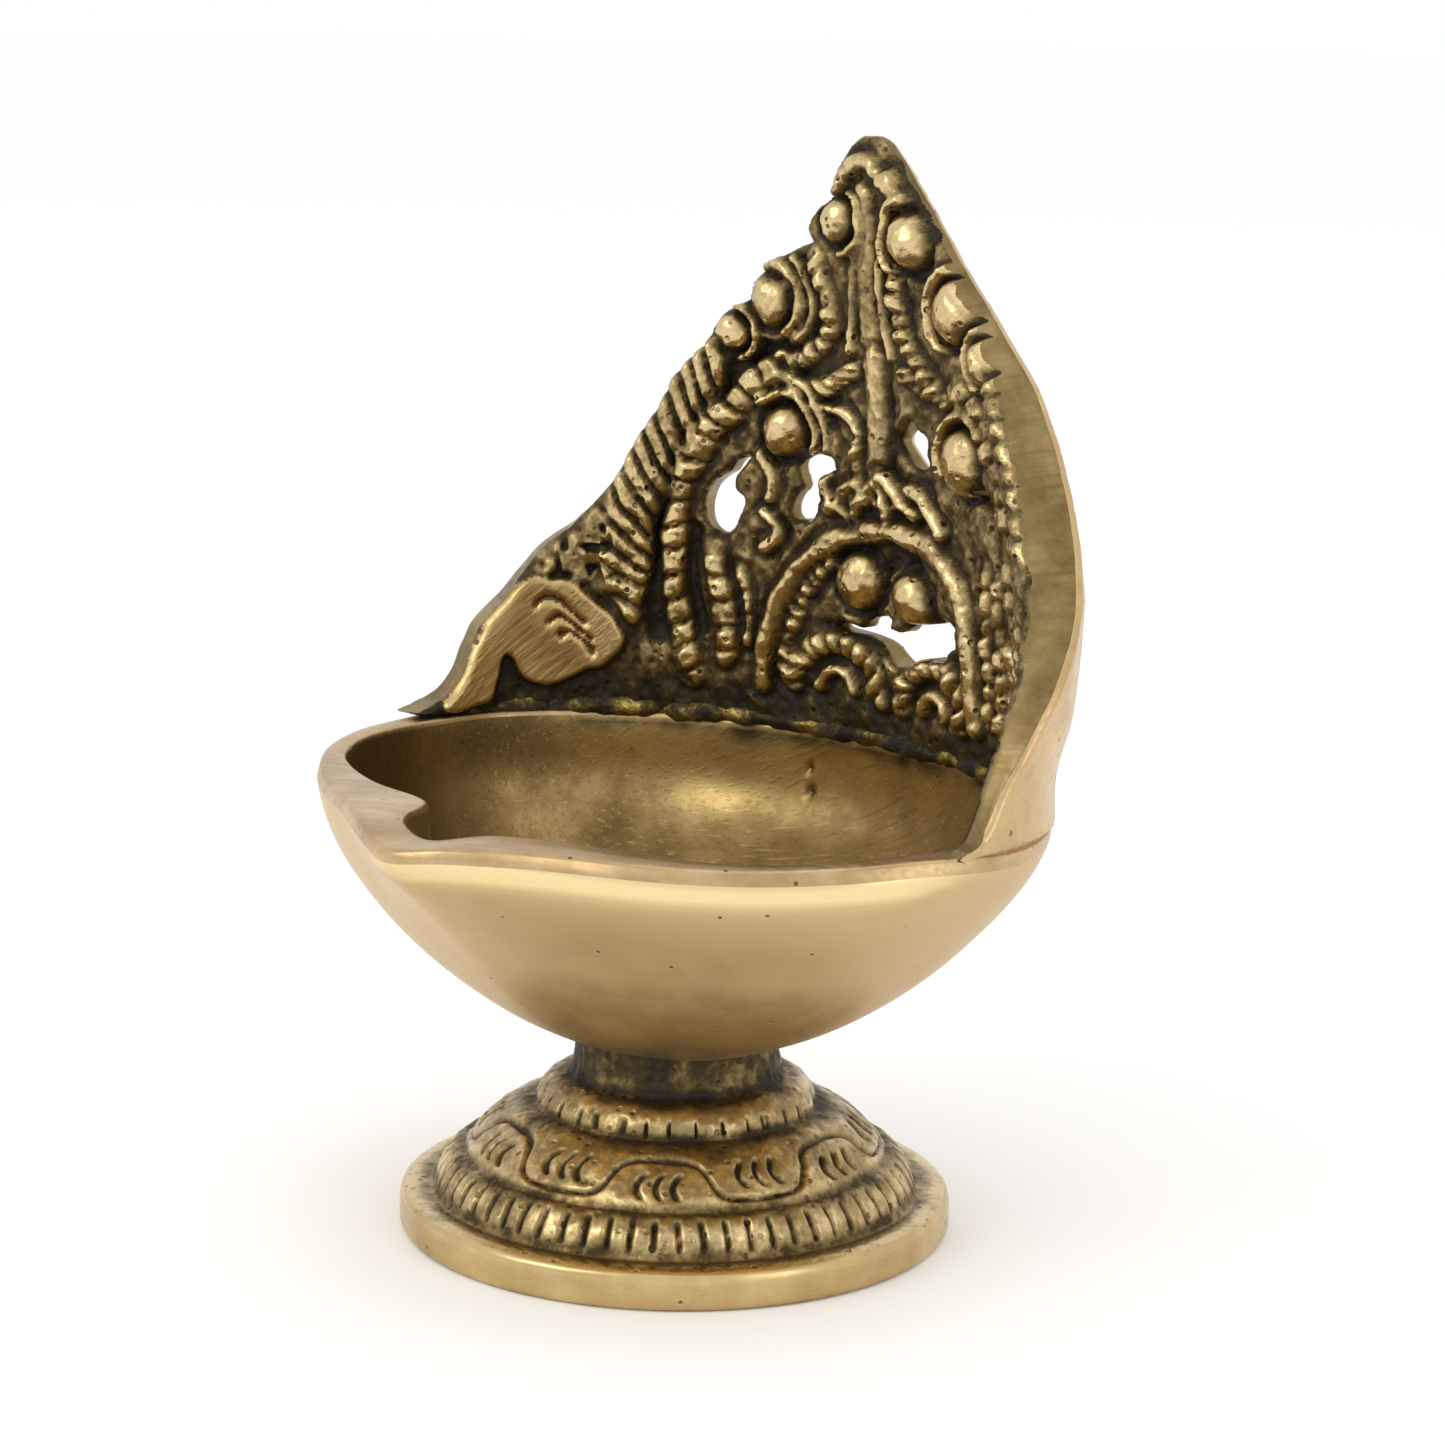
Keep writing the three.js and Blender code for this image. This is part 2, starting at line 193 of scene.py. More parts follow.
# ---- Materials ----
class Nodes:
    """A small helper that adds nodes to one material."""

    def __init__(self, name):
        self.material = bpy.data.materials.new(name)
        self.material.use_nodes = True
        self.tree = self.material.node_tree
        self.shader = self.tree.nodes["Principled BSDF"]
        self.place = self.add("ShaderNodeTexCoord").outputs["Object"]

    def add(self, kind, **settings):
        node = self.tree.nodes.new(kind)
        for key, value in settings.items():
            setattr(node, key, value)
        return node

    def link(self, source, target):
        self.tree.links.new(source, target)

    def feed(self, value, socket):
        if isinstance(value, (int, float, tuple)):
            socket.default_value = value
        else:
            self.link(value, socket)

    def attribute(self, name):
        return self.add("ShaderNodeAttribute", attribute_name=name).outputs["Fac"]

    def math(self, operation, a, b=0.0, clamp=False):
        node = self.add("ShaderNodeMath", operation=operation, use_clamp=clamp)
        self.feed(a, node.inputs[0])
        self.feed(b, node.inputs[1])
        return node.outputs[0]

    def mapped(self, scale, turn=(0, 0, 0)):
        """Texture space, turned and then scaled: a small first number makes strokes along its X."""
        node = self.add("ShaderNodeMapping", vector_type="TEXTURE")
        self.link(self.place, node.inputs["Vector"])
        node.inputs["Scale"].default_value = [1 / s for s in scale]
        node.inputs["Rotation"].default_value = [math.radians(a) for a in turn]
        return node.outputs[0]

    def noise(self, scale, detail=3.0, rough=0.55, vector=None):
        node = self.add("ShaderNodeTexNoise")
        self.link(vector or self.place, node.inputs["Vector"])
        for key, number in (("Scale", scale), ("Detail", detail), ("Roughness", rough)):
            node.inputs[key].default_value = number
        return node.outputs["Fac"]

    def pits(self, scale, radius):
        """1 on the metal, falling to 0 in scattered round pits."""
        node = self.add("ShaderNodeTexVoronoi")
        self.link(self.place, node.inputs["Vector"])
        node.inputs["Scale"].default_value = scale
        return self.band(node.outputs["Distance"], radius * 0.4, radius)

    def band(self, value, low, high, out_low=0.0, out_high=1.0):
        node = self.add("ShaderNodeMapRange", interpolation_type="SMOOTHSTEP")
        self.feed(value, node.inputs["Value"])
        for key, number in zip(("From Min", "From Max", "To Min", "To Max"), (low, high, out_low, out_high)):
            node.inputs[key].default_value = number
        return node.outputs[0]

    def ramp(self, value, stops):
        node = self.add("ShaderNodeValToRGB")
        self.link(value, node.inputs["Fac"])
        bar = node.color_ramp.elements
        while len(bar) < len(stops):
            bar.new(0.5)
        for element, (at, colour) in zip(bar, stops):
            element.position = at
            element.color = (*colour, 1)
        return node.outputs["Color"]

    def mix(self, fac, a, b):
        node = self.add("ShaderNodeMix", data_type="RGBA")
        self.feed(fac, node.inputs["Factor"])
        for value, socket in ((a, node.inputs[6]), (b, node.inputs[7])):
            self.feed((*value, 1) if isinstance(value, tuple) else value, socket)
        return node.outputs[2]

    def bump(self, height, distance, strength=1.0, under=None):
        node = self.add("ShaderNodeBump")
        self.link(height, node.inputs["Height"])
        node.inputs["Distance"].default_value = distance
        node.inputs["Strength"].default_value = strength
        if under:
            self.link(under, node.inputs["Normal"])
        return node.outputs["Normal"]

    def finish(self, colour, rough, normal, metal=1.0):
        self.feed(colour, self.shader.inputs["Base Color"])
        self.feed(rough, self.shader.inputs["Roughness"])
        self.feed(metal, self.shader.inputs["Metallic"])
        self.link(normal, self.shader.inputs["Normal"])
        return self.material


def polished_brass():
    """The bowl's outside: buffed, with faint tarnish, fine scratches, a few pits and a painted highlight on
    the filed facet below the right-front rim.
    """
    n = Nodes("bowl_polish")
    tarnish = n.noise(230, 5, 0.7)
    colour = n.mix(n.band(tarnish, 0.6, 0.78, 0, 0.18), (0.60, 0.435, 0.22), (0.36, 0.23, 0.10))
    pit = n.pits(330, 0.07)
    colour = n.mix(n.band(pit, 0, 1, 0.85, 0), colour, (0.10, 0.06, 0.025))
    hair = n.noise(2400, 3, 0.6, n.mapped((0.02, 1.0, 1.0), (0, -20, 40)))
    rough = n.math("ADD", n.band(tarnish, 0.35, 0.75, 0.38, 0.48), n.band(hair, 0.55, 0.8, 0, 0.06))
    # Painted highlight: the facet mask lifts the colour to pale gold on the filed band below the right-front
    # rim; the lower roughness there is the facet's own.
    facet = n.attribute("facet")
    colour = n.mix(facet, colour, (0.80, 0.64, 0.33))
    rough = n.math("SUBTRACT", rough, n.math("MULTIPLY", facet, 0.16))
    normal = n.bump(pit, 0.00012)
    normal = n.bump(hair, 0.00002, 0.5, normal)
    normal = n.bump(n.noise(120, 2), 0.00010, 0.35, normal)
    return n.finish(colour, rough, normal)


def rim_brass():
    """The rim's filed top: duller, pinkish, with small pits."""
    n = Nodes("rim_satin")
    cloud = n.noise(160, 5, 0.65)
    colour = n.ramp(cloud, [(0.3, (0.36, 0.24, 0.12)), (0.5, (0.48, 0.335, 0.17)), (0.7, (0.60, 0.44, 0.24))])
    pit = n.pits(520, 0.12)
    stroke = n.noise(2400, 3, 0.6, n.mapped((0.04, 1.0, 1.0), (0, 0, 28)))
    colour = n.mix(n.band(pit, 0, 1, 0.8, 0), colour, (0.10, 0.065, 0.03))
    rough = n.band(stroke, 0.3, 0.75, 0.27, 0.46)
    normal = n.bump(pit, 0.00012)
    normal = n.bump(stroke, 0.00003, 0.6, normal)
    return n.finish(colour, rough, normal)


def brushed_inside():
    """The bowl's inside: crossed scratches, brown and gold, with a bright ground spot whose pits are dark,
    and a painted shadow just under the rim at the back, below the plate's lower edge.
    """
    n = Nodes("bowl_inside")
    cloud = n.noise(75, 5, 0.62)
    first = n.noise(2900, 3, 0.6, n.mapped((0.022, 1.0, 1.0), (0, -28, 8)))
    second = n.noise(3100, 3, 0.6, n.mapped((0.022, 1.0, 1.0), (0, 34, -12)))
    streak = n.math("MAXIMUM", n.band(first, 0.50, 0.72), n.band(second, 0.58, 0.76, 0, 0.8))
    colour = n.ramp(cloud, [(0.28, (0.15, 0.10, 0.037)), (0.46, (0.27, 0.185, 0.071)),
                            (0.60, (0.42, 0.295, 0.12)), (0.74, (0.56, 0.41, 0.175))])
    colour = n.mix(n.band(streak, 0, 1, 0, 0.30), colour, (0.07, 0.045, 0.017))
    third = n.noise(2600, 3, 0.6, n.mapped((0.018, 1.0, 1.0), (0, -12, 20)))
    colour = n.mix(n.band(third, 0.56, 0.74, 0, 0.5), colour, (0.60, 0.44, 0.20))
    spots = n.noise(420, 4, 0.75)
    colour = n.mix(n.band(spots, 0.62, 0.76, 0, 0.5), colour, (0.10, 0.065, 0.025))
    bright = n.attribute("patch")
    grain = n.noise(900, 3, 0.7)
    ground = n.math("MULTIPLY", bright, n.band(grain, 0.36, 0.6, 0.05, 0.42))
    colour = n.mix(ground, colour, (0.46, 0.34, 0.13))
    # Painted shadow: this mask darkens a band just under the rim at the back, below the plate's lower edge,
    # and also the pits of the ground spot; the near-black mix below paints that shadow.
    plate_shadow_and_dark_pits = n.attribute("plate_shadow_and_dark_pits")
    burnt = n.math("MULTIPLY", plate_shadow_and_dark_pits, n.band(spots, 0.3, 0.6, 0.75, 1.0))
    colour = n.mix(burnt, colour, (0.028, 0.02, 0.012))
    rough = n.band(cloud, 0.3, 0.7, 0.52, 0.30)
    normal = n.bump(streak, 0.00002, 0.5)
    normal = n.bump(n.noise(150, 2), 0.0003, 0.4, normal)
    return n.finish(colour, rough, normal)


def antique_brass(name, grain=1.0):
    """Cast brass: almost black in the recesses, brown on the slopes and rubbed bright on top."""
    n = Nodes(name)
    proud = n.attribute("proud")
    mottle = n.noise(260, 6, 0.7)
    fine = n.noise(1400, 3, 0.7)
    level = n.math("ADD", proud, n.band(mottle, 0.25, 0.75, -0.17, 0.17))
    level = n.math("ADD", level, n.band(fine, 0.3, 0.7, -0.11 * grain, 0.11 * grain), clamp=True)
    stops = [(0.08, (0.022, 0.015, 0.007)), (0.30, (0.085, 0.060, 0.025)), (0.50, (0.20, 0.143, 0.062)),
             (0.72, (0.37, 0.27, 0.125)), (0.94, (0.64, 0.49, 0.25))]
    colour = n.ramp(level, stops)
    pit = n.pits(760, 0.26)
    hole = n.math("MULTIPLY", n.band(pit, 0, 1, 1, 0), n.band(mottle, 0.42, 0.6, 0, 0.9 * grain))
    colour = n.mix(hole, colour, (0.02, 0.014, 0.007))
    rough = n.band(level, 0.15, 0.9, 0.62, 0.27)
    metal = n.band(level, 0.05, 0.35, 0.55, 1.0)
    normal = n.bump(pit, 0.00016 * grain, 0.7)
    normal = n.bump(fine, 0.00010 * grain, 0.6, normal)
    return n.finish(colour, rough, normal, metal)


def filed_edge():
    """The plate's filed side edge: brown gold with fine cross strokes."""
    n = Nodes("filed_edge")
    cloud = n.noise(200, 5, 0.65)
    stroke = n.noise(2000, 3, 0.6, n.mapped((0.04, 0.04, 1.0), (8, 0, 0)))
    colour = n.ramp(cloud, [
        (0.3, (0.14, 0.095, 0.036)), (0.5, (0.235, 0.168, 0.070)), (0.7, (0.35, 0.258, 0.115))])
    colour = n.mix(n.band(stroke, 0.55, 0.75, 0, 0.5), colour, (0.14, 0.09, 0.04))
    rough = n.band(stroke, 0.3, 0.7, 0.34, 0.5)
    normal = n.bump(stroke, 0.00008, 0.8)
    return n.finish(colour, rough, normal)


def filler_brass():
    """Brazing filler: greenish yellow where it is bare, black where flux has burnt on."""
    n = Nodes("braze_filler")
    burnt = n.noise(330, 6, 0.72)
    fine = n.noise(1500, 3, 0.7)
    colour = n.ramp(burnt, [(0.42, (0.022, 0.016, 0.010)), (0.52, (0.12, 0.085, 0.03)),
                            (0.62, (0.40, 0.31, 0.09)), (0.74, (0.72, 0.60, 0.22))])
    rough = n.band(burnt, 0.45, 0.7, 0.75, 0.32)
    metal = n.band(burnt, 0.42, 0.58, 0.35, 1.0)
    normal = n.bump(fine, 0.00016, 0.8)
    normal = n.bump(burnt, 0.0006, 0.6, normal)
    return n.finish(colour, rough, normal, metal)


# ---- Bowl ----
CENTRE = np.array([0.0, -2.0])
BOWL_DEPTH = RIM_Z - 14.6  # from the rim down to the outside's lowest point
INNER_DEPTH = RIM_Z - 18.8  # from the rim down to the inside's lowest point
OUTER_PLAN = [
    (36.4, -1.5), (35.5, -6.6), (33.7, -11.0), (30.4, -15.9), (26.4, -20.2), (21.8, -24.0), (17.6, -26.7),
    (13.6, -29.4), (9.5, -32.5), (6.8, -34.1), (4.5, -34.6), (2.0, -33.9), (-1.2, -32.4), (-5.1, -30.4),
    (-10.0, -27.9), (-15.5, -25.4), (-22.3, -21.7), (-27.3, -18.0), (-30.9, -14.1), (-34.4, -8.8),
    (-36.3, -3.0), (-36.4, 2.5), (-35.0, 8.0), (-31.7, 13.6), (-26.3, 19.2), (-18.8, 24.2), (-10.0, 27.1),
    (0.0, 27.6), (9.7, 26.3), (18.0, 23.0), (25.2, 18.1), (30.7, 12.9), (34.5, 7.6), (36.2, 3.0),
]
OUTER_BASE = (36.0, 27.2, 29.0)  # half-axes at the side, front and back that the outside settles to
INNER_BASE = (32.7, 21.5, 26.4)  # the same for the inside
BASE_SHIFT = np.array([-2.0, 1.5])  # how far the lower body lies off the rim's centre
INNER_PLAN = [
    (32.3, -2.0), (32.5, 2.0), (31.2, 7.5), (27.5, 13.2), (21.5, 18.7), (12.0, 23.0), (0.0, 24.4),
    (-12.0, 23.0), (-21.5, 18.7), (-28.3, 12.4), (-31.9, 6.0), (-32.9, 0.0), (-32.7, -4.6), (-31.4, -8.8),
    (-29.2, -12.6), (-25.4, -16.4), (-21.6, -18.5), (-17.6, -20.0), (-13.3, -21.3), (-9.8, -22.0),
    (-6.6, -22.4), (-4.4, -23.0), (-3.1, -24.4), (-2.2, -26.2), (-0.9, -27.7), (0.5, -28.5), (2.1, -28.9),
    (3.6, -28.8), (4.8, -28.0), (5.7, -26.7), (6.6, -25.4), (8.4, -23.9), (11.6, -22.3), (15.0, -20.9),
    (18.2, -19.4), (22.9, -17.1), (26.4, -14.3), (29.3, -10.9), (31.4, -6.8),
]


PATCH = {"x": -7.5, "z": 33.2, "wide": 3.2, "high": 2.6}  # ground spot inside the rear wall
PITS = ((-2.3, 1.7, 0.55), (-2.0, -0.5, 0.7))  # its pits: place from its middle, and radius
OUTSIDE, RIM, INSIDE = 0, 1, 2  # the shell's materials


def polar(points, angles):
    """Radius of a closed outline about the bowl's centre at each angle."""
    ring = spline(points, 0.3, closed=True) - CENTRE
    at = np.arctan2(ring[:, 1], ring[:, 0]) % (2 * np.pi)
    order = np.argsort(at)
    return np.interp(angles, at[order], np.hypot(*ring[order].T), period=2 * np.pi)


def ellipse(angles, side, front, back):
    """Radius of an ellipse-like plan whose front and back half-axes differ."""
    depth = np.where(np.sin(angles) < 0, front, back)
    return 1 / np.hypot(np.cos(angles) / side, np.sin(angles) / depth)


def make_bowl():
    columns = 640
    angles = np.arange(columns) / columns * 2 * np.pi
    spin = np.stack([np.cos(angles), np.sin(angles)], -1)
    outer = polar(OUTER_PLAN, angles)
    inner = polar(INNER_PLAN, angles)
    outer_base = ellipse(angles, *OUTER_BASE)
    inner_base = ellipse(angles, *INNER_BASE)
    right_front = smooth_step(-6, 10, outer * spin[:, 0]) * smooth_step(4, -6, outer * spin[:, 1])
    rear = smooth_step(-1, 7, outer * spin[:, 1])  # where the plate stands and was filed flush
    facet = 0.35 * (1 - rear) + 1.15 * right_front  # how far the filed facet cuts in at the rim
    edge_round = 0.45 - 0.40 * rear
    facet_height = 1.0 + 2.2 * right_front
    wave = 0.18 * np.sin(3 * angles + 0.7) + 0.12 * np.sin(7 * angles + 2.0)
    near_tip = np.exp(-((angles - math.radians(278)) / 0.10) ** 2)
    rim_wave = wave * smooth_step(8, -4, outer * spin[:, 1]) - 0.5 * near_tip
    rim = RIM_Z + rim_wave

    rows = []
    zone = []
    painted_highlight = []

    def row(radius, height, part, fall=0.0, bright=0.0):
        shift = BASE_SHIFT * smooth_step(0, 0.45, fall)
        xy = CENTRE + shift + spin * np.broadcast_to(radius, angles.shape)[:, None]
        rows.append(np.column_stack([xy, np.broadcast_to(height, angles.shape)]))
        zone.append(part)
        painted_highlight.append(np.broadcast_to(bright, angles.shape))

    for k in range(60):  # outside, from the bottom up
        d = np.sin((1 - (k + 0.35) / 60 * 0.98) * np.pi / 2)
        depth = BOWL_DEPTH * d
        swell = (outer - outer_base) * np.exp(-((d / 0.3) ** 1.7))
        radius = (outer_base + swell) * (1 - d**1.5) ** 0.55
        cut = facet * np.clip(1 - depth / facet_height, 0, 1) ** 1.15
        height = RIM_Z + rim_wave * (1 - d) ** 2 - depth  # the rim's wave dies out down the wall
        # Painted highlight: marks the upper part of the right-front facet to be coloured brighter.
        bright = smooth_step(facet_height, 0.75 * facet_height, depth) * right_front
        row(radius - cut, height, OUTSIDE, d, bright)
    edge = outer - facet
    for k in range(1, 5):  # outer edge rounding
        a = k / 4 * np.pi / 2
        row(edge - edge_round * (1 - np.cos(a)), rim - edge_round * (1 - np.sin(a)), RIM)
    width = edge - edge_round - (inner + 0.5)
    for k in range(1, 9):  # rim's flat top
        t = k / 9
        row(edge - edge_round - width * t, rim + 0.10 * np.sin(np.pi * t), RIM)
    for k in range(0, 5):  # inner edge rounding
        a = k / 4 * np.pi / 2
        row(inner + 0.5 * (1 - np.sin(a)), rim - 0.5 * (1 - np.cos(a)), RIM)
    for k in range(1, 56):  # inside, from the rim down
        d = np.sin(k / 56 * np.pi / 2)
        depth = 0.5 + (INNER_DEPTH - 0.5) * d
        groove = (inner - inner_base) * np.exp(-((depth / 6.0) ** 2))
        radius = (inner_base + groove * (0.4 + 0.6 * np.exp(-depth / 5))) * (1 - d**1.8) ** 0.5
        row(radius, RIM_Z + rim_wave * (1 - d) ** 2 - depth, INSIDE, d)
    verts = np.vstack(rows)
    faces = tube_grid(len(rows), columns).tolist()
    parts = np.repeat(zone[1:], columns).tolist()
    pole = CENTRE + BASE_SHIFT
    verts = np.vstack([verts, [*pole, RIM_Z - BOWL_DEPTH], [*pole, RIM_Z - INNER_DEPTH]])
    bottom, floor = len(verts) - 2, len(verts) - 1
    last = (len(rows) - 1) * columns
    for j in range(columns):
        k = (j + 1) % columns
        faces += [[bottom, k, j], [last + j, last + k, floor]]
        parts += [OUTSIDE, INSIDE]

    # Hand-finished waviness, and a ground spot with two pits on the inside of the rear wall.
    radial = verts - [0, CENTRE[1], RIM_Z]
    radial /= np.linalg.norm(radial, axis=1)[:, None] + 1e-9
    dent = 0.09 * noise(verts, 9.0, 3) + 0.015 * noise(verts, 3.2, 4)
    verts = verts + radial * dent[:, None] * smooth_step(0.0, 1.5, RIM_Z - verts[:, 2])[:, None]
    u = verts[:, 0] - PATCH["x"]
    w = verts[:, 2] - PATCH["z"]
    within = (u / PATCH["wide"]) ** 2 + (w / PATCH["high"]) ** 2 + 0.12 * noise(verts, 1.6, 8)
    is_inner = np.zeros(len(verts), bool)
    is_inner[zone.index(INSIDE) * columns:] = True
    back_wall = is_inner & (verts[:, 1] > 0)
    patch = np.where(back_wall, smooth_step(1.05, 0.9, within), 0)
    for x, z, r in PITS:
        near = np.hypot(u - x, w - z)
        verts[:, 1] += np.where(back_wall, 0.3 * smooth_step(r, 0.2 * r, near), 0)
        patch -= np.where(back_wall, 1.2 * smooth_step(r * 1.5, r * 0.7, near), 0)
    # A painted shadow: a ragged dark band just under the rim, inside the rear wall below the plate's lower
    # edge.
    rough_seam = 0.8 * noise(verts, 3.0, 21) + 0.5 * noise(verts, 1.1, 22)
    plate_shadow_and_dark_pits = np.where(is_inner, smooth_step(2.2, 0.5, RIM_Z - verts[:, 2] + rough_seam), 0)
    plate_shadow_and_dark_pits *= smooth_step(8, 14, verts[:, 1])
    # The pits of the ground spot are dark as well.
    for x, z, r in PITS:
        near = np.hypot(u - x, w - z)
        plate_shadow_and_dark_pits = np.maximum(plate_shadow_and_dark_pits, np.where(back_wall, 0.7 * smooth_step(r * 1.1, r * 0.5, near), 0))
    looks = [polished_brass(), rim_brass(), brushed_inside()]
    # The facet mask is a painted highlight on the right-front facet.
    masks = {"patch": np.clip(patch, 0, 1), "plate_shadow_and_dark_pits": plate_shadow_and_dark_pits, "facet": np.append(np.concatenate(painted_highlight), [0, 0])}
    put("bowl_shell", verts, faces, looks, ["bowl"], masks, parts, sharp=35)


# ---- Back plate ----
# The plate is drawn flat, u along it and z up, and wrapped round the rear rim by plate_point().
SIDE, DEPTH, PLATE_Y, LEAN = 34.0, 24.5, -0.9, 0.085
WALL_SIDE, WALL_BACK = 0.75, 1.1  # shares of the wall's thickness at the ends and behind
LEFT_EDGE = [
    (-0.8, 91.6), (-2.2, 90.9), (-3.7, 89.4), (-4.6, 87.3), (-5.2, 86.0), (-6.8, 84.8), (-7.5, 83.3),
    (-7.3, 82.4), (-9.4, 81.5), (-12.6, 79.9), (-14.2, 78.0), (-14.7, 76.7), (-16.6, 76.0),
    (-18.3, 74.5), (-18.9, 72.9), (-20.6, 71.5), (-22.7, 69.4), (-24.2, 67.0), (-26.0, 64.9),
    (-27.7, 62.6), (-29.4, 60.2), (-31.6, 58.1), (-34.4, 55.7), (-37.9, 53.5), (-40.4, 51.2),
    (-42.8, 49.0), (-45.8, 46.8), (-47.7, 44.6), (-49.1, 42.4), (-50.6, 40.9), (-53.0, 39.7),
    (-56.5, 38.8),
]
RIGHT_EDGE = [
    (55.5, 38.7), (52.6, 39.6), (50.6, 41.4), (48.6, 44.0), (46.2, 46.8), (43.0, 49.4), (40.2, 51.8),
    (37.2, 54.2), (34.0, 56.9), (31.4, 59.4), (28.9, 62.3), (26.6, 65.2), (24.2, 68.0), (21.8, 70.7),
    (19.6, 73.2), (17.2, 75.4), (13.3, 79.0), (9.9, 82.2), (6.8, 85.6), (4.1, 88.8), (2.0, 91.0),
    (0.7, 91.6),
]
WALL = [  # height and thickness of the cast plate
    (38, 2.2), (42, 2.9), (46, 3.8), (50, 4.6), (56, 5.3), (60, 5.0), (64, 4.6), (68, 4.2), (72, 3.6),
    (76, 2.6), (80, 2.0), (84, 1.8), (92, 1.7),
]
FLUSH = [(-50, 3.6), (-27, 3.6), (0, 3.3), (27, 2.1), (45, 2.4)]  # u and the thickness that meets the rim
HOLES = [
    [(-14.9, 62.9), (-16.5, 62.3), (-17.3, 61.3), (-18.7, 60.5), (-19.8, 59.1), (-20.0, 57.2), (-19.2, 56.0),
     (-18.1, 55.6), (-17.0, 56.3), (-16.4, 57.5), (-15.7, 58.9), (-16.6, 59.6), (-16.8, 60.7), (-15.9, 61.7)],
    [(-9.7, 62.3), (-9.0, 63.2), (-7.3, 63.7), (-5.7, 63.5), (-5.3, 62.7), (-6.2, 62.1), (-7.1, 61.9),
     (-7.5, 61.0), (-7.9, 58.7), (-8.5, 57.6), (-9.3, 57.7), (-10.2, 57.6), (-10.7, 58.4), (-10.1, 59.8),
     (-9.3, 60.6)],
    [(4.4, 67.7), (5.6, 66.8), (6.6, 66.3), (6.1, 65.0), (6.5, 64.3), (5.1, 63.6), (3.8, 64.4), (2.5, 65.8),
     (3.4, 66.8)],
    [(13.9, 62.7), (16.4, 63.4), (17.8, 62.6), (18.6, 60.8), (20.6, 60.2), (22.4, 59.9), (22.6, 58.4),
     (21.1, 57.5), (18.4, 57.3), (18.0, 59.3), (16.3, 61.8)],
    [(-5.9, 48.3), (-5.1, 48.9), (-3.1, 48.6), (-2.1, 49.6), (0.5, 50.1), (0.9, 49.0), (2.2, 49.0),
     (3.6, 50.0), (6.2, 50.3), (9.1, 50.9), (10.1, 49.1), (8.4, 48.2), (8.3, 47.3), (6.0, 47.3),
     (3.9, 46.5), (1.8, 45.8), (0.5, 46.2), (-0.7, 47.4), (-2.5, 47.9)],
]
# Round bosses: u, z, radius, how far they stand proud.
BULBS = [
    (-3.7, 84.1, 1.9, 2.0), (-11.4, 76.9, 2.3, 2.1), (-16.0, 74.0, 1.7, 1.8), (-10.6, 65.6, 2.5, 2.4),
    (5.7, 83.2, 2.5, 2.3), (12.0, 77.5, 2.7, 2.3), (17.3, 73.9, 2.0, 2.0), (13.5, 65.2, 2.8, 2.5),
    (-2.5, 52.9, 2.7, 2.2), (4.5, 52.2, 2.5, 2.3),
]
# Curled collars that hug the bosses: centre, radius, first and last angle, half-width, proud.
CURLS = [
    (-11.4, 76.9, 3.1, -60, 100, 0.75, 1.5), (-16.0, 74.0, 2.5, -70, 80, 0.6, 1.3),
    (-10.6, 65.6, 3.4, -30, 130, 0.7, 1.6), (-10.6, 65.6, 4.7, -20, 110, 0.55, 1.2),
    (-3.7, 84.1, 2.7, -80, 60, 0.55, 1.2), (5.7, 83.2, 3.4, 100, 230, 0.6, 1.4),
    (12.0, 77.5, 3.6, 90, 240, 0.7, 1.5), (17.3, 73.9, 2.8, 90, 240, 0.6, 1.3),
    (13.5, 65.2, 3.8, 40, 200, 0.7, 1.5), (-11.4, 76.9, 4.4, -50, 60, 0.5, 1.0),
]
BEAD_BAND = [
    (-10.6, 71.2), (-13.9, 69.4), (-16.0, 67.5), (-18.5, 65.4), (-20.4, 63.0), (-21.9, 60.2),
    (-22.8, 57.4), (-23.4, 54.4), (-23.6, 51.1), (-23.2, 47.9), (-22.7, 45.2), (-22.0, 42.6),
]
FEATHER = [
    (-17.2, 73.0), (-19.9, 69.8), (-22.8, 65.7), (-25.6, 61.8), (-27.7, 57.9), (-28.5, 54.2),
    (-28.7, 50.8), (-28.2, 47.6),
]
ARCH = [
    (-14.2, 42.4), (-13.6, 45.6), (-12.3, 49.3), (-10.1, 52.7), (-7.1, 55.3), (-3.5, 56.9), (0.4, 57.7),
    (4.4, 57.6), (8.1, 56.6), (11.2, 54.6), (12.9, 51.4), (13.6, 47.6), (14.1, 42.4),
]
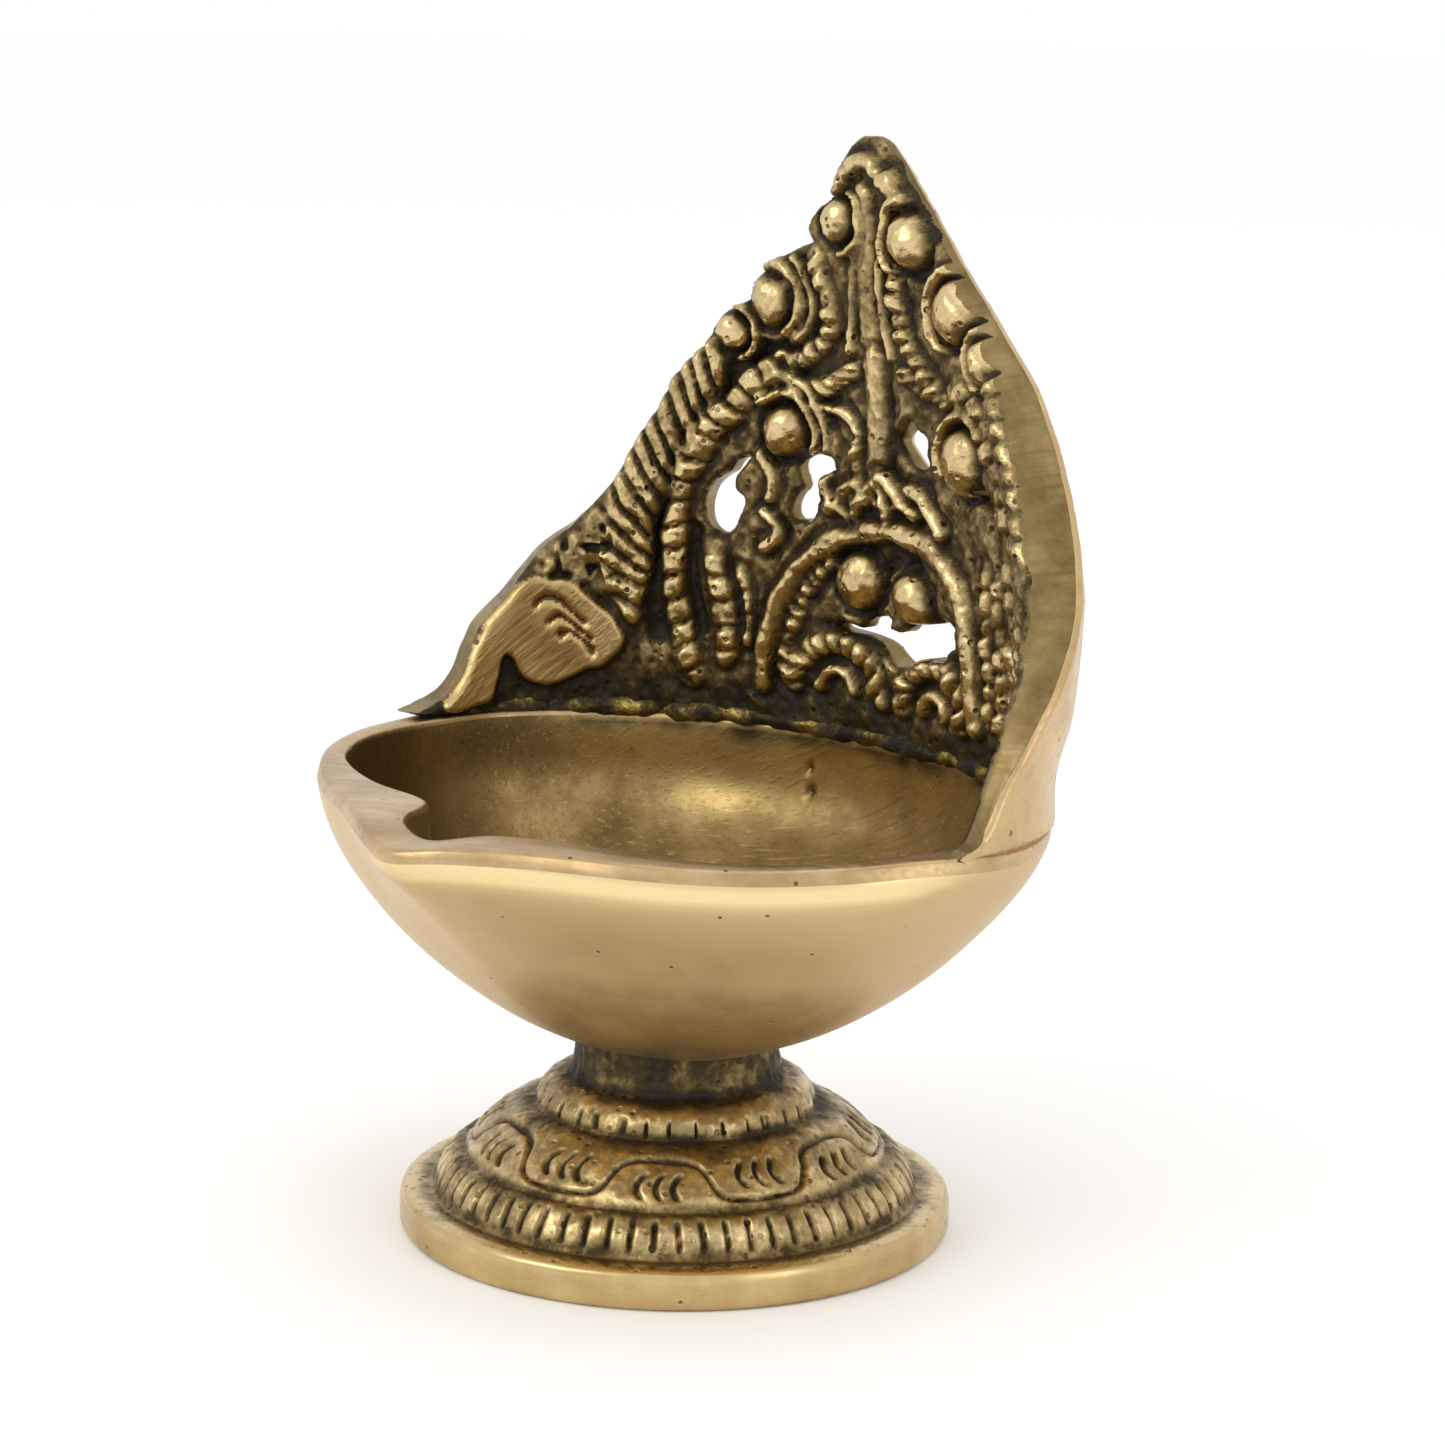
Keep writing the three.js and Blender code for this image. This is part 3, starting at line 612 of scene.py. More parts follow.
# Raised bands: path, half-width, proud, spacing of their notches, slant of the notches.
BANDS = [
    (BEAD_BAND, 1.55, 1.7, 2.25, 0.15), (ARCH, 1.15, 1.5, 0, 0),
    ([(-11.9, 43.4), (-11.3, 46.6), (-10.0, 49.6), (-8.1, 52.2), (-5.6, 54.1)], 0.85, 1.3, 1.35, 0.0),
    ([(-6.7, 81.0), (-5.8, 79.3), (-5.2, 77.9), (-5.0, 76.4), (-5.2, 74.8), (-5.9, 73.5), (-7.4, 72.6),
      (-9.2, 71.6)], 1.05, 1.5, 1.5, 0.1),
    ([(3.6, 80.2), (3.4, 78.0), (3.5, 76.8), (4.2, 75.3), (5.2, 73.9), (6.8, 72.4), (8.4, 71.0)],
     1.05, 1.5, 1.5, -0.1),
    ([(-1.9, 82.0), (-2.2, 79.0), (-2.3, 76.0), (-3.0, 73.2)], 0.5, 0.9, 0, 0),
    ([(-0.4, 86.5), (-0.6, 82.0), (-0.4, 78.0), (-0.2, 74.5)], 1.3, 0.8, 0, 0),
    ([(1.6, 82.0), (1.5, 79.0), (1.7, 76.0), (2.5, 73.0)], 0.5, 0.9, 0, 0),
    ([(-8.6, 79.6), (-8.2, 77.6), (-8.3, 75.4), (-9.3, 73.4)], 0.6, 1.1, 0, 0),
    ([(-9.6, 79.4), (-9.9, 78.0)], 0.8, 1.2, 0, 0),
    ([(-11.2, 68.9), (-8.0, 69.4), (-4.8, 70.3), (-2.5, 71.6)], 1.0, 1.4, 1.5, 0.5),
    ([(-8.2, 67.4), (-5.6, 68.1), (-3.4, 67.6), (-2.2, 66.2)], 0.6, 1.1, 0, 0),
    ([(13.2, 69.4), (10.0, 70.0), (7.2, 70.6), (4.4, 71.4)], 1.0, 1.3, 1.5, -0.5),
    ([(0.4, 72.6), (0.5, 69.0), (0.4, 65.6), (0.3, 62.8)], 1.5, 1.2, 0, 0),
    ([(-2.2, 66.0), (-2.6, 63.0), (-1.2, 60.6)], 0.7, 1.1, 1.4, 0.3),
    ([(-5.9, 59.1), (-4.2, 60.6), (-2.4, 61.2)], 0.8, 1.3, 0, 0),
    ([(-2.8, 58.9), (-1.6, 60.6), (0.6, 62.4)], 0.8, 1.4, 0, 0),
    ([(1.4, 59.4), (0.9, 61.0), (0.6, 62.6)], 0.8, 1.4, 0, 0),
    ([(5.0, 59.5), (3.6, 60.8), (1.4, 62.6)], 0.8, 1.4, 0, 0),
    ([(9.2, 58.6), (7.4, 60.4), (4.8, 62.0)], 0.8, 1.3, 0, 0),
    ([(-4.4, 59.7), (0.4, 60.2), (5.0, 60.0)], 0.5, 1.0, 0.9, 0.0),
    ([(-10.8, 43.0), (-10.0, 45.0), (-8.0, 46.7), (-5.4, 47.2), (-3.0, 46.5), (-1.3, 44.9), (-0.4, 42.6)],
     1.25, 1.6, 1.6, 0.2),
    ([(-7.6, 42.8), (-6.6, 44.3), (-4.8, 44.4), (-3.8, 42.8)], 0.7, 1.3, 0, 0),
    ([(2.4, 42.4), (3.2, 44.8), (5.4, 46.3), (8.0, 46.6), (10.4, 45.8), (11.4, 43.8), (11.0, 42.2)],
     1.2, 1.6, 1.6, 0.2),
    ([(5.6, 42.4), (6.5, 44.0), (8.4, 43.8), (8.8, 42.4)], 0.7, 1.3, 0, 0),
    ([(-18.9, 54.2), (-18.7, 51.4), (-18.4, 48.6), (-18.2, 44.6)], 1.3, 1.3, 2.3, 0.0),
    ([(-16.2, 52.6), (-15.6, 49.4), (-15.8, 46.0)], 0.7, 0.9, 1.9, 0.0),
    ([(16.6, 56.6), (16.7, 52.0), (16.8, 48.0), (16.9, 43.0)], 0.75, 1.2, 1.9, 0.0),
    ([(19.6, 56.2), (19.8, 52.0), (19.9, 47.6), (20.0, 43.0)], 1.0, 1.3, 1.9, 0.0),
    ([(-13.4, 55.0), (-11.8, 56.6), (-13.2, 58.2)], 0.7, 1.1, 0, 0),
    ([(-12.6, 59.6), (-12.2, 61.6), (-13.2, 63.4)], 0.7, 1.1, 0, 0),
    ([(-3.9, 58.4), (-6.4, 61.0), (-5.0, 65.2), (-6.4, 66.0)], 0.6, 0.9, 0, 0),
    ([(-2.4, 88.9), (0.2, 89.7), (2.4, 88.2)], 0.9, 1.2, 0, 0),
    ([(-3.3, 88.4), (-3.9, 86.6)], 0.8, 1.0, 1.2, 0.0),
    ([(3.0, 88.0), (4.6, 86.2)], 1.2, 1.3, 0, 0),
]
CARVED = [  # valleys: path, half-width, depth
    ([(-13.0, 72.4), (-16.4, 70.2), (-18.9, 67.6), (-21.6, 64.4), (-23.6, 61.0), (-24.9, 57.6), (-25.5, 54.2),
      (-25.9, 50.6), (-25.6, 46.6)], 1.15, 1.2),
    ([(-20.9, 56.0), (-21.3, 52.0), (-20.8, 47.0)], 0.7, 0.8),
    ([(-9.6, 50.0), (-7.6, 52.6), (-5.0, 54.2)], 0.6, 0.8),
    ([(-2.0, 50.6), (1.0, 55.0), (4.0, 55.4)], 0.8, 0.8),
    ([(-12.5, 73.2), (-10.2, 72.9), (-8.6, 74.4)], 0.6, 0.6),
    ([(15.0, 54.0), (15.2, 49.0), (15.3, 44.0)], 0.6, 0.8),
    ([(22.2, 56.0), (22.4, 50.0), (22.3, 44.0)], 0.7, 0.9),
]
TAB = [  # outline of the flat that was ground on the left end
    (-52.6, 39.2), (-50.4, 41.4), (-48.4, 43.6), (-46.2, 46.2), (-43.6, 48.9), (-40.6, 50.7),
    (-36.6, 50.9), (-33.2, 49.8), (-30.6, 47.7), (-29.2, 45.0), (-30.8, 43.0), (-34.6, 41.6),
    (-38.8, 41.0), (-41.8, 41.9), (-43.4, 43.6), (-44.2, 41.6), (-45.6, 39.6), (-48.6, 38.9),
]
PITTED = [(-29.8, 49.5), (-30.6, 57.6), (-38.8, 51.8), (-36, 49.6)]  # rough metal above it
MARKS = [  # low strokes in the tab that the grinder missed
    [(-39.4, 48.5), (-37.6, 49.1), (-35.6, 48.5), (-33.6, 46.9)],
    [(-38.0, 46.9), (-36.4, 47.4), (-34.8, 46.7), (-33.0, 45.2)],
    [(-36.2, 45.5), (-35.0, 45.8), (-33.8, 45.1), (-32.6, 44.1)],
]


def mirrored(path, shift=1.9):
    return [(-u + shift, z) for u, z in path]


def plate_relief(points):
    """Height of the cast relief over the plate's inner face, and how much of the ground tab covers it."""
    flat3 = np.column_stack([points, np.zeros(len(points))])
    rough = noise(flat3, 2.6, 31) + 0.7 * noise(flat3, 1.15, 32)
    points = points + 0.34 * np.column_stack([noise(flat3, 2.4, 33), noise(flat3, 2.4, 34)])
    worn = 0.82 + 0.20 * noise(flat3, 4.5, 35)  # how much of each form the casting kept
    height = 0.28 + 0.26 * rough
    for path, half, depth in CARVED + [(mirrored(CARVED[0][0]), 1.1, 1.1)]:
        dist = nearest(points, spline(path))[0]
        height -= depth * smooth_step(half * 1.5, 0, dist)

    def raise_to(level):
        nonlocal height
        sharpness = 4.0
        level = np.where(level > 0, level * worn, level)
        height = np.logaddexp(sharpness * height, sharpness * level) / sharpness

    def band(path, half, proud, pitch, slant):
        dist, length, side = nearest(points, spline(path))
        t = np.clip(dist / half, 0, 1)
        level = np.where(dist < half, proud * np.sqrt(1 - t**2), -2.0)
        if pitch:
            phase = (length + slant * side * dist * 2) / pitch
            phase = phase + 0.10 * rough
            level *= 0.86 + 0.22 * np.sin(np.floor(phase) * 2.4)  # no two beads stand equally proud
            level -= 0.50 * proud * np.exp(-((np.abs((phase % 1) - 0.5) - 0.5) * pitch / 0.26) ** 2)
        raise_to(level)
        groove = np.exp(-(((dist - half - 0.25) / 0.4) ** 2))
        height[:] -= 0.22 * groove

    def feather(path, cut):
        """The broad outer band, cut by slanting slits."""
        dist, length, side = nearest(points, spline(path))
        half = 2.75 * smooth_step(-2.5, 5, length) * smooth_step(33, 22, length) + 0.3
        t = np.clip(dist / half, 0, 1)
        level = np.where(dist < half, 1.45 * np.sqrt(1 - t**4) - 0.15 * t, -2.0)
        phase = (length - side * dist * 0.62) / 2.15
        slit = np.exp(-((np.abs((phase % 1) - 0.5) - 0.5) * 2.15 / 0.36) ** 2)
        level -= cut * slit * smooth_step(1.0, 0.86, t)
        raise_to(level)

    feather(FEATHER, 0.95)
    feather(mirrored(FEATHER, 1.6), 0.5)
    for spec in BANDS:
        band(*spec)
    band(mirrored(BEAD_BAND), 1.5, 1.6, 2.25, -0.15)
    for u, z, r, first, last, half, proud in CURLS:
        a = np.radians(np.linspace(first, last, 9))
        band(list(zip(u + r * np.cos(a), z + r * np.sin(a))), half, proud, 0.0, 0.0)
    for u, z, r, proud in BULBS:
        dist = np.hypot(points[:, 0] - u, points[:, 1] - z) * (1 + 0.05 * rough)
        height -= 0.6 * np.exp(-(((dist - r - 0.35) / 0.4) ** 2))
        raise_to(np.where(dist < r, proud * np.sqrt(np.clip(1 - (dist / r) ** 2, 0, 1)), -2.0))

    # Pitted metal above the tab, and the ground tab itself.
    pitted = smooth_step(0, 2.5, signed(points, spline(PITTED, closed=True)) + 0.6)
    cells = noise(flat3, 0.9, 41)
    height += pitted * (0.55 - 0.9 * smooth_step(0.15, 0.6, cells))
    ring = spline(TAB, 0.5, closed=True)
    tab = smooth_step(-0.25, 0.35, signed(points, ring) + 0.35 * noise(flat3, 2.0, 42))
    level = 1.25 + 0.05 * noise(flat3, 3.0, 43)
    for path in MARKS:
        dist = nearest(points, spline(path))[0] + 0.22 * noise(flat3, 1.1, 44)
        level = level - 0.42 * smooth_step(0.6, 0.1, dist)
    height = height * (1 - tab) + level * tab
    return height, tab


def plate_point(u, z, n):
    """Places on the lamp of points of the flat plate, n behind its inner face."""
    angle = u / SIDE
    x = (SIDE + WALL_SIDE * n) * np.sin(angle)
    y = PLATE_Y - LEAN * (z - 42) + (DEPTH + WALL_BACK * n) * np.cos(angle)
    return np.column_stack([x, y, z])


def make_plate():
    cell = 0.24
    us = np.arange(-57, 58, cell)
    zs = np.arange(RIM_Z - 0.6, TOP_Z + 0.8, cell)
    grid_u, grid_z = np.meshgrid(us, zs)
    points = np.column_stack([grid_u.ravel(), grid_z.ravel()])
    bottom = [(u, RIM_Z - 0.1) for u in (-53.8, -30, 0, 30, 55)]
    outline = np.vstack([spline(LEFT_EDGE), bottom, spline(RIGHT_EDGE)])
    clearance = signed(points, outline)
    to_edge = clearance.copy()
    to_hole = np.full(len(points), 1e9)
    for hole in HOLES:
        to_hole = np.minimum(to_hole, -signed(points, spline(hole, 0.3, closed=True)))
    clearance = np.minimum(clearance, to_hole)
    clearance += 0.05 * noise(np.column_stack([points, points[:, :1] * 0]), 0.9, 5)
    shape = grid_u.shape
    height, tab = plate_relief(points)
    flat3 = np.column_stack([points, np.zeros(len(points))])
    grain = 0.13 * noise(flat3, 0.75, 51) + 0.09 * noise(flat3, 0.42, 52)
    grain -= 0.28 * smooth_step(0.55, 1.2, noise(flat3, 0.8, 53))  # casting pores
    height += grain * (1 - 0.95 * tab)

    relief = height.reshape(shape)
    local = relief - blur(relief, 0.9 / cell)
    broad = relief - blur(relief, 2.6 / cell)
    proud = 0.50 + 0.62 * local + 0.24 * broad + 0.10 * (relief - 0.6)
    proud = np.maximum(proud.ravel(), 0.0)
    proud = proud * (1 - tab) + tab * (0.80 + 0.1 * local.ravel() - 0.9 * (height < 0.95) * tab)
    proud -= 0.30 * smooth_step(4.0, 1.0, points[:, 1] - RIM_Z - 1) * (1 - tab)
    proud = np.clip(proud, 0, 1)

    dist = clearance.reshape(shape)
    slope_z, slope_u = np.gradient(dist, cell)
    keep = dist > -0.45 * cell
    full = keep[:-1, :-1] & keep[1:, :-1] & keep[:-1, 1:] & keep[1:, 1:]
    rows, cols = np.nonzero(full)
    width = shape[1]
    base = rows * width + cols
    quads = np.stack([base, base + 1, base + width + 1, base + width], -1)
    use = np.zeros(len(points), int)
    np.add.at(use, quads.ravel(), 1)
    rim = (use > 0) & (use < 4)
    size = np.hypot(slope_u, slope_z).ravel() + 1e-6
    move = np.clip(clearance, -cell, cell) * rim / size
    points[:, 0] -= move * slope_u.ravel() / size
    points[:, 1] -= move * slope_z.ravel() / size
    inset = np.where(rim, 0, np.clip(clearance, 0, None))

    def rounding(radius):
        t = np.clip(radius - inset, 0, radius)
        return radius - np.sqrt(radius**2 - t**2)

    ends = smooth_step(40, 52, np.abs(points[:, 0]))
    front = -height * (1 - ends * 0.2) - 0.5 * ends + rounding(0.75)
    wall = np.interp(points[:, 1], *zip(*WALL))
    low = smooth_step(47, 40, points[:, 1])
    wall = wall * (1 - low) + np.interp(points[:, 0], *zip(*FLUSH)) * low
    thinning = smooth_step(8.0, 1.0, to_hole) * smooth_step(3.0, 12.0, to_edge)
    wall -= (wall - 2.1) * thinning  # the wall thins gently towards the openings
    standing = smooth_step(39.3, 40.6, points[:, 1])
    back = wall - rounding(0.6) * standing + 0.10 * noise(flat3, 5.0, 61) + 0.04 * noise(flat3, 1.2, 62)

    number = np.full(len(points), -1)
    used = use > 0
    number[used] = np.arange(used.sum())
    count = used.sum()
    flat = points[used]

    def bent(n):
        return plate_point(flat[:, 0], flat[:, 1], n)

    quads = number[quads]
    edges = np.vstack([quads[:, [0, 1]], quads[:, [1, 2]], quads[:, [2, 3]], quads[:, [3, 0]]])
    key = np.sort(edges, axis=1)
    _, first, times = np.unique(key, axis=0, return_index=True, return_counts=True)
    border = edges[first[times == 1]]
    loop = np.unique(border)
    steps = 5
    layers = [bent(front[used]), bent(back[used])]
    for k in range(1, steps):
        t = k / steps
        layers.append(bent(front[used] * (1 - t) + back[used] * t)[loop])
    verts = np.vstack(layers)
    verts[2 * count:] += 0.042 * noise(verts[2 * count:], 1.3, 71)[:, None]
    place = np.full(count, -1)
    place[loop] = np.arange(len(loop))

    def layer_index(k, v):
        if k == 0:
            return v
        if k == steps:
            return v + count
        return 2 * count + (k - 1) * len(loop) + place[v]

    walls = []
    a, b = border[:, 0], border[:, 1]
    for k in range(steps):
        corners = [layer_index(k, b), layer_index(k, a), layer_index(k + 1, a), layer_index(k + 1, b)]
        walls.append(np.stack(corners, -1))
    walls = np.vstack(walls)
    faces = np.vstack([quads, quads[:, ::-1] + count, walls])
    tab_face = tab[used][quads].mean(axis=1) > 0.5
    kind = np.concatenate([np.where(tab_face, 1, 0), np.full(len(quads), 3), np.full(len(walls), 2)])
    proud_all = np.concatenate([proud[used], np.full(count, 0.7), np.full(len(loop) * (steps - 1), 0.62)])
    looks = [antique_brass("plate_antique"), ground_brass(), filed_edge(), back_brass()]
    put("back_plate_cast", verts, faces, looks, ["back_plate"], {"proud": proud_all}, kind,
        sharp=62)


def ground_brass():
    """The tab that a grinder has flattened: bright, with slanting strokes."""
    n = Nodes("ground_tab")
    stroke = n.noise(2600, 3, 0.6, n.mapped((0.022, 1.0, 1.0), (0, -40, 63)))
    cloud = n.noise(160, 4, 0.6)
    proud = n.attribute("proud")
    colour = n.ramp(cloud, [(0.3, (0.36, 0.25, 0.10)), (0.5, (0.54, 0.39, 0.17)), (0.7, (0.74, 0.57, 0.28))])
    colour = n.mix(n.band(stroke, 0.52, 0.72, 0, 0.45), colour, (0.20, 0.13, 0.05))
    colour = n.mix(n.band(proud, 0.3, 0.6, 0.9, 0.0), colour, (0.07, 0.045, 0.02))
    rough = n.band(stroke, 0.3, 0.7, 0.26, 0.44)
    return n.finish(colour, rough, n.bump(stroke, 0.0001, 0.8))


def back_brass():
    """The plate's outer face: smoothed by hand, continuing the bowl's polish, with shallow pits."""
    n = Nodes("plate_back")
    cloud = n.noise(90, 5, 0.65)
    pit = n.pits(420, 0.12)
    colour = n.ramp(cloud, [(0.3, (0.42, 0.28, 0.13)), (0.5, (0.56, 0.39, 0.19)), (0.7, (0.70, 0.51, 0.27))])
    colour = n.mix(n.band(pit, 0, 1, 0.8, 0), colour, (0.10, 0.065, 0.03))
    hair = n.noise(500, 3, 0.6, n.mapped((1, 1, 6), (20, 10, 0)))
    rough = n.band(hair, 0.3, 0.75, 0.26, 0.42)
    normal = n.bump(pit, 0.00012)
    normal = n.bump(hair, 0.00004, 0.6, normal)
    return n.finish(colour, rough, normal)


# ---- Brazed seam ----
def make_seam(name, node, first, last):
    """A lumpy fillet of filler along the foot of the plate, on its inner side."""
    steps = int((last - first) / 0.28)
    around = 18
    u = np.linspace(first, last, steps)
    line = np.column_stack([u, u * 0, u * 0])
    lump = 0.5 + 0.5 * noise(line, 3.4, 81) + 0.28 * noise(line, 1.3, 82)
    taper = smooth_step(0, 2.0, u - first) * smooth_step(0, 2.0, last - u)
    reach = (0.55 + 0.75 * np.clip(lump, 0, 1.3)) * (0.35 + 0.65 * taper)
    rows = []
    for k in range(around):
        a = 2 * np.pi * k / around
        n = 0.55 - reach * 1.15 * np.cos(a)
        z = RIM_Z + 0.35 + reach * 0.95 * np.sin(a)
        p = plate_point(u, z, n)
        rows.append(p + 0.16 * noise(p, 0.8, 83)[:, None] + 0.1 * noise(p, 2.0, 84)[:, None])
    verts = np.stack(rows, 1).reshape(-1, 3)
    faces = tube_grid(steps, around).tolist()
    faces.append(list(range(around))[::-1])
    faces.append([(steps - 1) * around + k for k in range(around)])
    put(name, verts, faces, [FILLER], [node], sharp=80)


# ---- Foot ----
FOOT_PROFILE = [  # radius and height of the outside, from the floor up
    (22.9, 0.0), (23.25, 0.15), (23.5, 0.6), (23.5, 1.6), (23.45, 2.6), (23.2, 3.1), (22.5, 3.35),
    (21.6, 3.35), (20.9, 3.3), (20.55, 3.6), (20.35, 4.2), (20.0, 5.0), (19.4, 5.8), (18.8, 6.25),
    (18.3, 6.4), (18.0, 6.45), (17.8, 6.8), (17.1, 7.7), (16.0, 8.8), (14.7, 9.7), (13.3, 10.3),
    (12.4, 10.5), (12.0, 10.6), (11.9, 11.0), (11.6, 11.8), (11.0, 12.5), (10.2, 12.95), (9.4, 13.1),
    (8.95, 13.35), (8.8, 14.0), (8.7, 15.5), (8.8, 18.0),
]
FOOT_HOLLOW = [  # the same for the inside, from the neck down
    (8.2, 18.0), (5.2, 9.4), (5.2, 7.0), (11.4, 6.9), (13.0, 6.3), (15.6, 6.2), (17.6, 3.8), (20.2, 1.6),
    (20.4, 0.05),
]
RIBS = 64  # radial ribs above the flange
VINES = 6  # waves of the engraved vine round the dome
TICKS = 34  # short ticks round the upper step


def foot_relief(angle, height):
    """Depth of the engraving, positive inwards, for points given by angle and height."""
    depth = np.zeros(len(angle))
    jitter = noise(np.column_stack([angle * 6, height * 0.4, angle * 0]), 1.0, 91)

    # Radial ribs on the ring above the flange.
    phase = angle / (2 * np.pi) * RIBS + 0.12 * jitter
    slit = np.exp(-((np.abs((phase % 1) - 0.5) - 0.5) / RIBS * 2 * np.pi * 19.5 / 0.24) ** 2)
    depth += 0.42 * slit * smooth_step(3.8, 4.1, height) * smooth_step(6.3, 6.0, height)

    # The vine on the dome: one wave with three crescents in each bend.
    turn = angle / (2 * np.pi) * VINES + 0.02 * jitter
    s = (height - 8.5) * 1.6
    local = turn % 1
    wave = np.sin(2 * np.pi * local)
    vine = 2.2 * wave / np.sqrt(wave**2 + 0.12)
    rise = 2.2 * 2 * np.pi * np.cos(2 * np.pi * local) * 0.12 / (wave**2 + 0.12) ** 1.5
    slope = np.hypot(1, rise * VINES / 98)
    on_dome = smooth_step(6.7, 7.0, height) * smooth_step(10.5, 10.2, height)
    broken = smooth_step(-0.75, -0.5, noise(np.column_stack([angle * 5, height * 0, height * 0]), 1.0, 95))
    depth += 0.38 * np.exp(-(((s - vine) / slope / 0.22) ** 2)) * on_dome * broken
    for bend, up in ((0.25, 1), (0.75, -1)):
        for k in (-1, 0, 1):
            x = (local - bend) * 2 * np.pi * 15.5 / VINES - 1.5 * k
            y = s + 0.55 * up
            arc = x + 0.75 * np.cos(np.clip(y, -1.5, 1.5)) - 0.4
            depth += 0.42 * np.exp(-((arc / 0.24) ** 2)) * smooth_step(1.5, 1.1, np.abs(y)) * on_dome

    # Short ticks round the lower edge of the upper step.
    phase = angle / (2 * np.pi) * TICKS + 0.25 * jitter
    tick = np.exp(-((np.abs((phase % 1) - 0.5) - 0.5) / TICKS * 2 * np.pi * 11.6 / 0.22) ** 2)
    each = np.column_stack([np.floor(phase) * 1.7, phase * 0, phase * 0])
    tick *= smooth_step(-0.55, -0.35, noise(each, 1.0, 96))
    depth += 0.36 * tick * smooth_step(10.8, 11.0, height) * smooth_step(12.2, 11.8, height)
    return depth


def make_foot():
    columns = 760
    outside = spline(FOOT_PROFILE, 0.16)
    hollow = spline(FOOT_HOLLOW, 1.0)
    profile = np.vstack([outside, hollow, outside[:1]])
    angles = np.arange(columns) / columns * 2 * np.pi
    rows = len(profile)
    angle = np.tile(angles, rows)
    radius = np.repeat(profile[:, 0], columns)
    height = np.repeat(profile[:, 1], columns)
    tangent = np.gradient(profile, axis=0)
    normal = np.column_stack([tangent[:, 1], -tangent[:, 0]])
    normal /= np.linalg.norm(normal, axis=1)[:, None] + 1e-9
    is_out = np.repeat(np.arange(rows) < len(outside), columns)
    engraved = np.where(is_out, foot_relief(angle, height), 0)
    position = np.column_stack([radius * np.cos(angle), radius * np.sin(angle), height])
    upper = smooth_step(3.3, 3.8, height)
    cast = 0.07 * noise(position, 1.4, 97) + 0.05 * noise(position, 0.6, 98)
    neck = smooth_step(13.0, 13.4, height)
    push = np.where(is_out, cast * upper * (1 + 1.2 * neck) - engraved, 0)
    radius = radius + push * np.repeat(normal[:, 0], columns)
    lifted = height + push * np.repeat(normal[:, 1], columns)
    verts = np.column_stack([radius * np.cos(angle), radius * np.sin(angle), lifted])
    faces = tube_grid(rows, columns)

    groove = np.zeros(len(angle))
    for low, high, dark in ((3.15, 4.1, 0.42), (6.15, 6.9, 0.40), (10.3, 11.1, 0.55), (12.95, 13.8, 0.5)):
        middle = (low + high) / 2
        groove = np.maximum(groove, dark * np.exp(-(((height - middle) / (high - low) * 2) ** 2)))
    mottle = noise(position, 2.6, 99)
    proud = 0.70 - groove * (0.8 + 0.4 * mottle) - 1.25 * engraved + 1.6 * cast
    # Painted shade: the neck under the bowl is coloured darker, with a mottled spread.
    proud -= 0.42 * neck * (1 + 0.6 * mottle)
    proud = np.where(height < 3.4, 0.92 - 0.35 * smooth_step(22.6, 21.2, radius), proud)
    proud += 0.12 * np.exp(-(((height - 7.2) / 0.35) ** 2)) + 0.10 * np.exp(-(((height - 5.2) / 0.5) ** 2))
    proud = np.where(is_out, proud, 0.45)
    flange = (height < 3.2) & (radius > 22.6)
    kind = np.where(flange[faces].all(axis=1), 1, 0)
    looks = [antique_brass("foot_antique", 0.75), flange_brass()]
    put("foot_cast", verts, faces, looks, ["foot"], {"proud": np.clip(proud, 0, 1)}, kind,
        sharp=60)


def flange_brass():
    """The foot's turned edge, buffed bright."""
    n = Nodes("flange_polish")
    cloud = n.noise(110, 4, 0.6)
    colour = n.ramp(cloud, [(0.3, (0.44, 0.31, 0.135)), (0.5, (0.56, 0.41, 0.19)), (0.7, (0.70, 0.54, 0.28))])
    pit = n.pits(400, 0.09)
    colour = n.mix(n.band(pit, 0, 1, 0.8, 0), colour, (0.12, 0.07, 0.03))
    turned = n.noise(500, 3, 0.6, n.mapped((0.4, 0.4, 6)))
    rough = n.band(turned, 0.3, 0.75, 0.20, 0.36)
    normal = n.bump(pit, 0.0001)
    normal = n.bump(turned, 0.00003, 0.6, normal)
    return n.finish(colour, rough, normal)


# ---- Camera and light ----
def stand(thing, x, y, z, place):
    """Stands a camera or light at a place, in metres, with the given axes."""
    bpy.context.scene.collection.objects.link(thing)
    thing.matrix_world = Matrix([[x[i], y[i], z[i], place[i]] for i in range(3)] + [[0, 0, 0, 1]])


def turned(a, b, angle):
    """Two perpendicular axes turned by an angle, the first towards the second."""
    c, s = math.cos(angle), math.sin(angle)
    return a * c + b * s, b * c - a * s


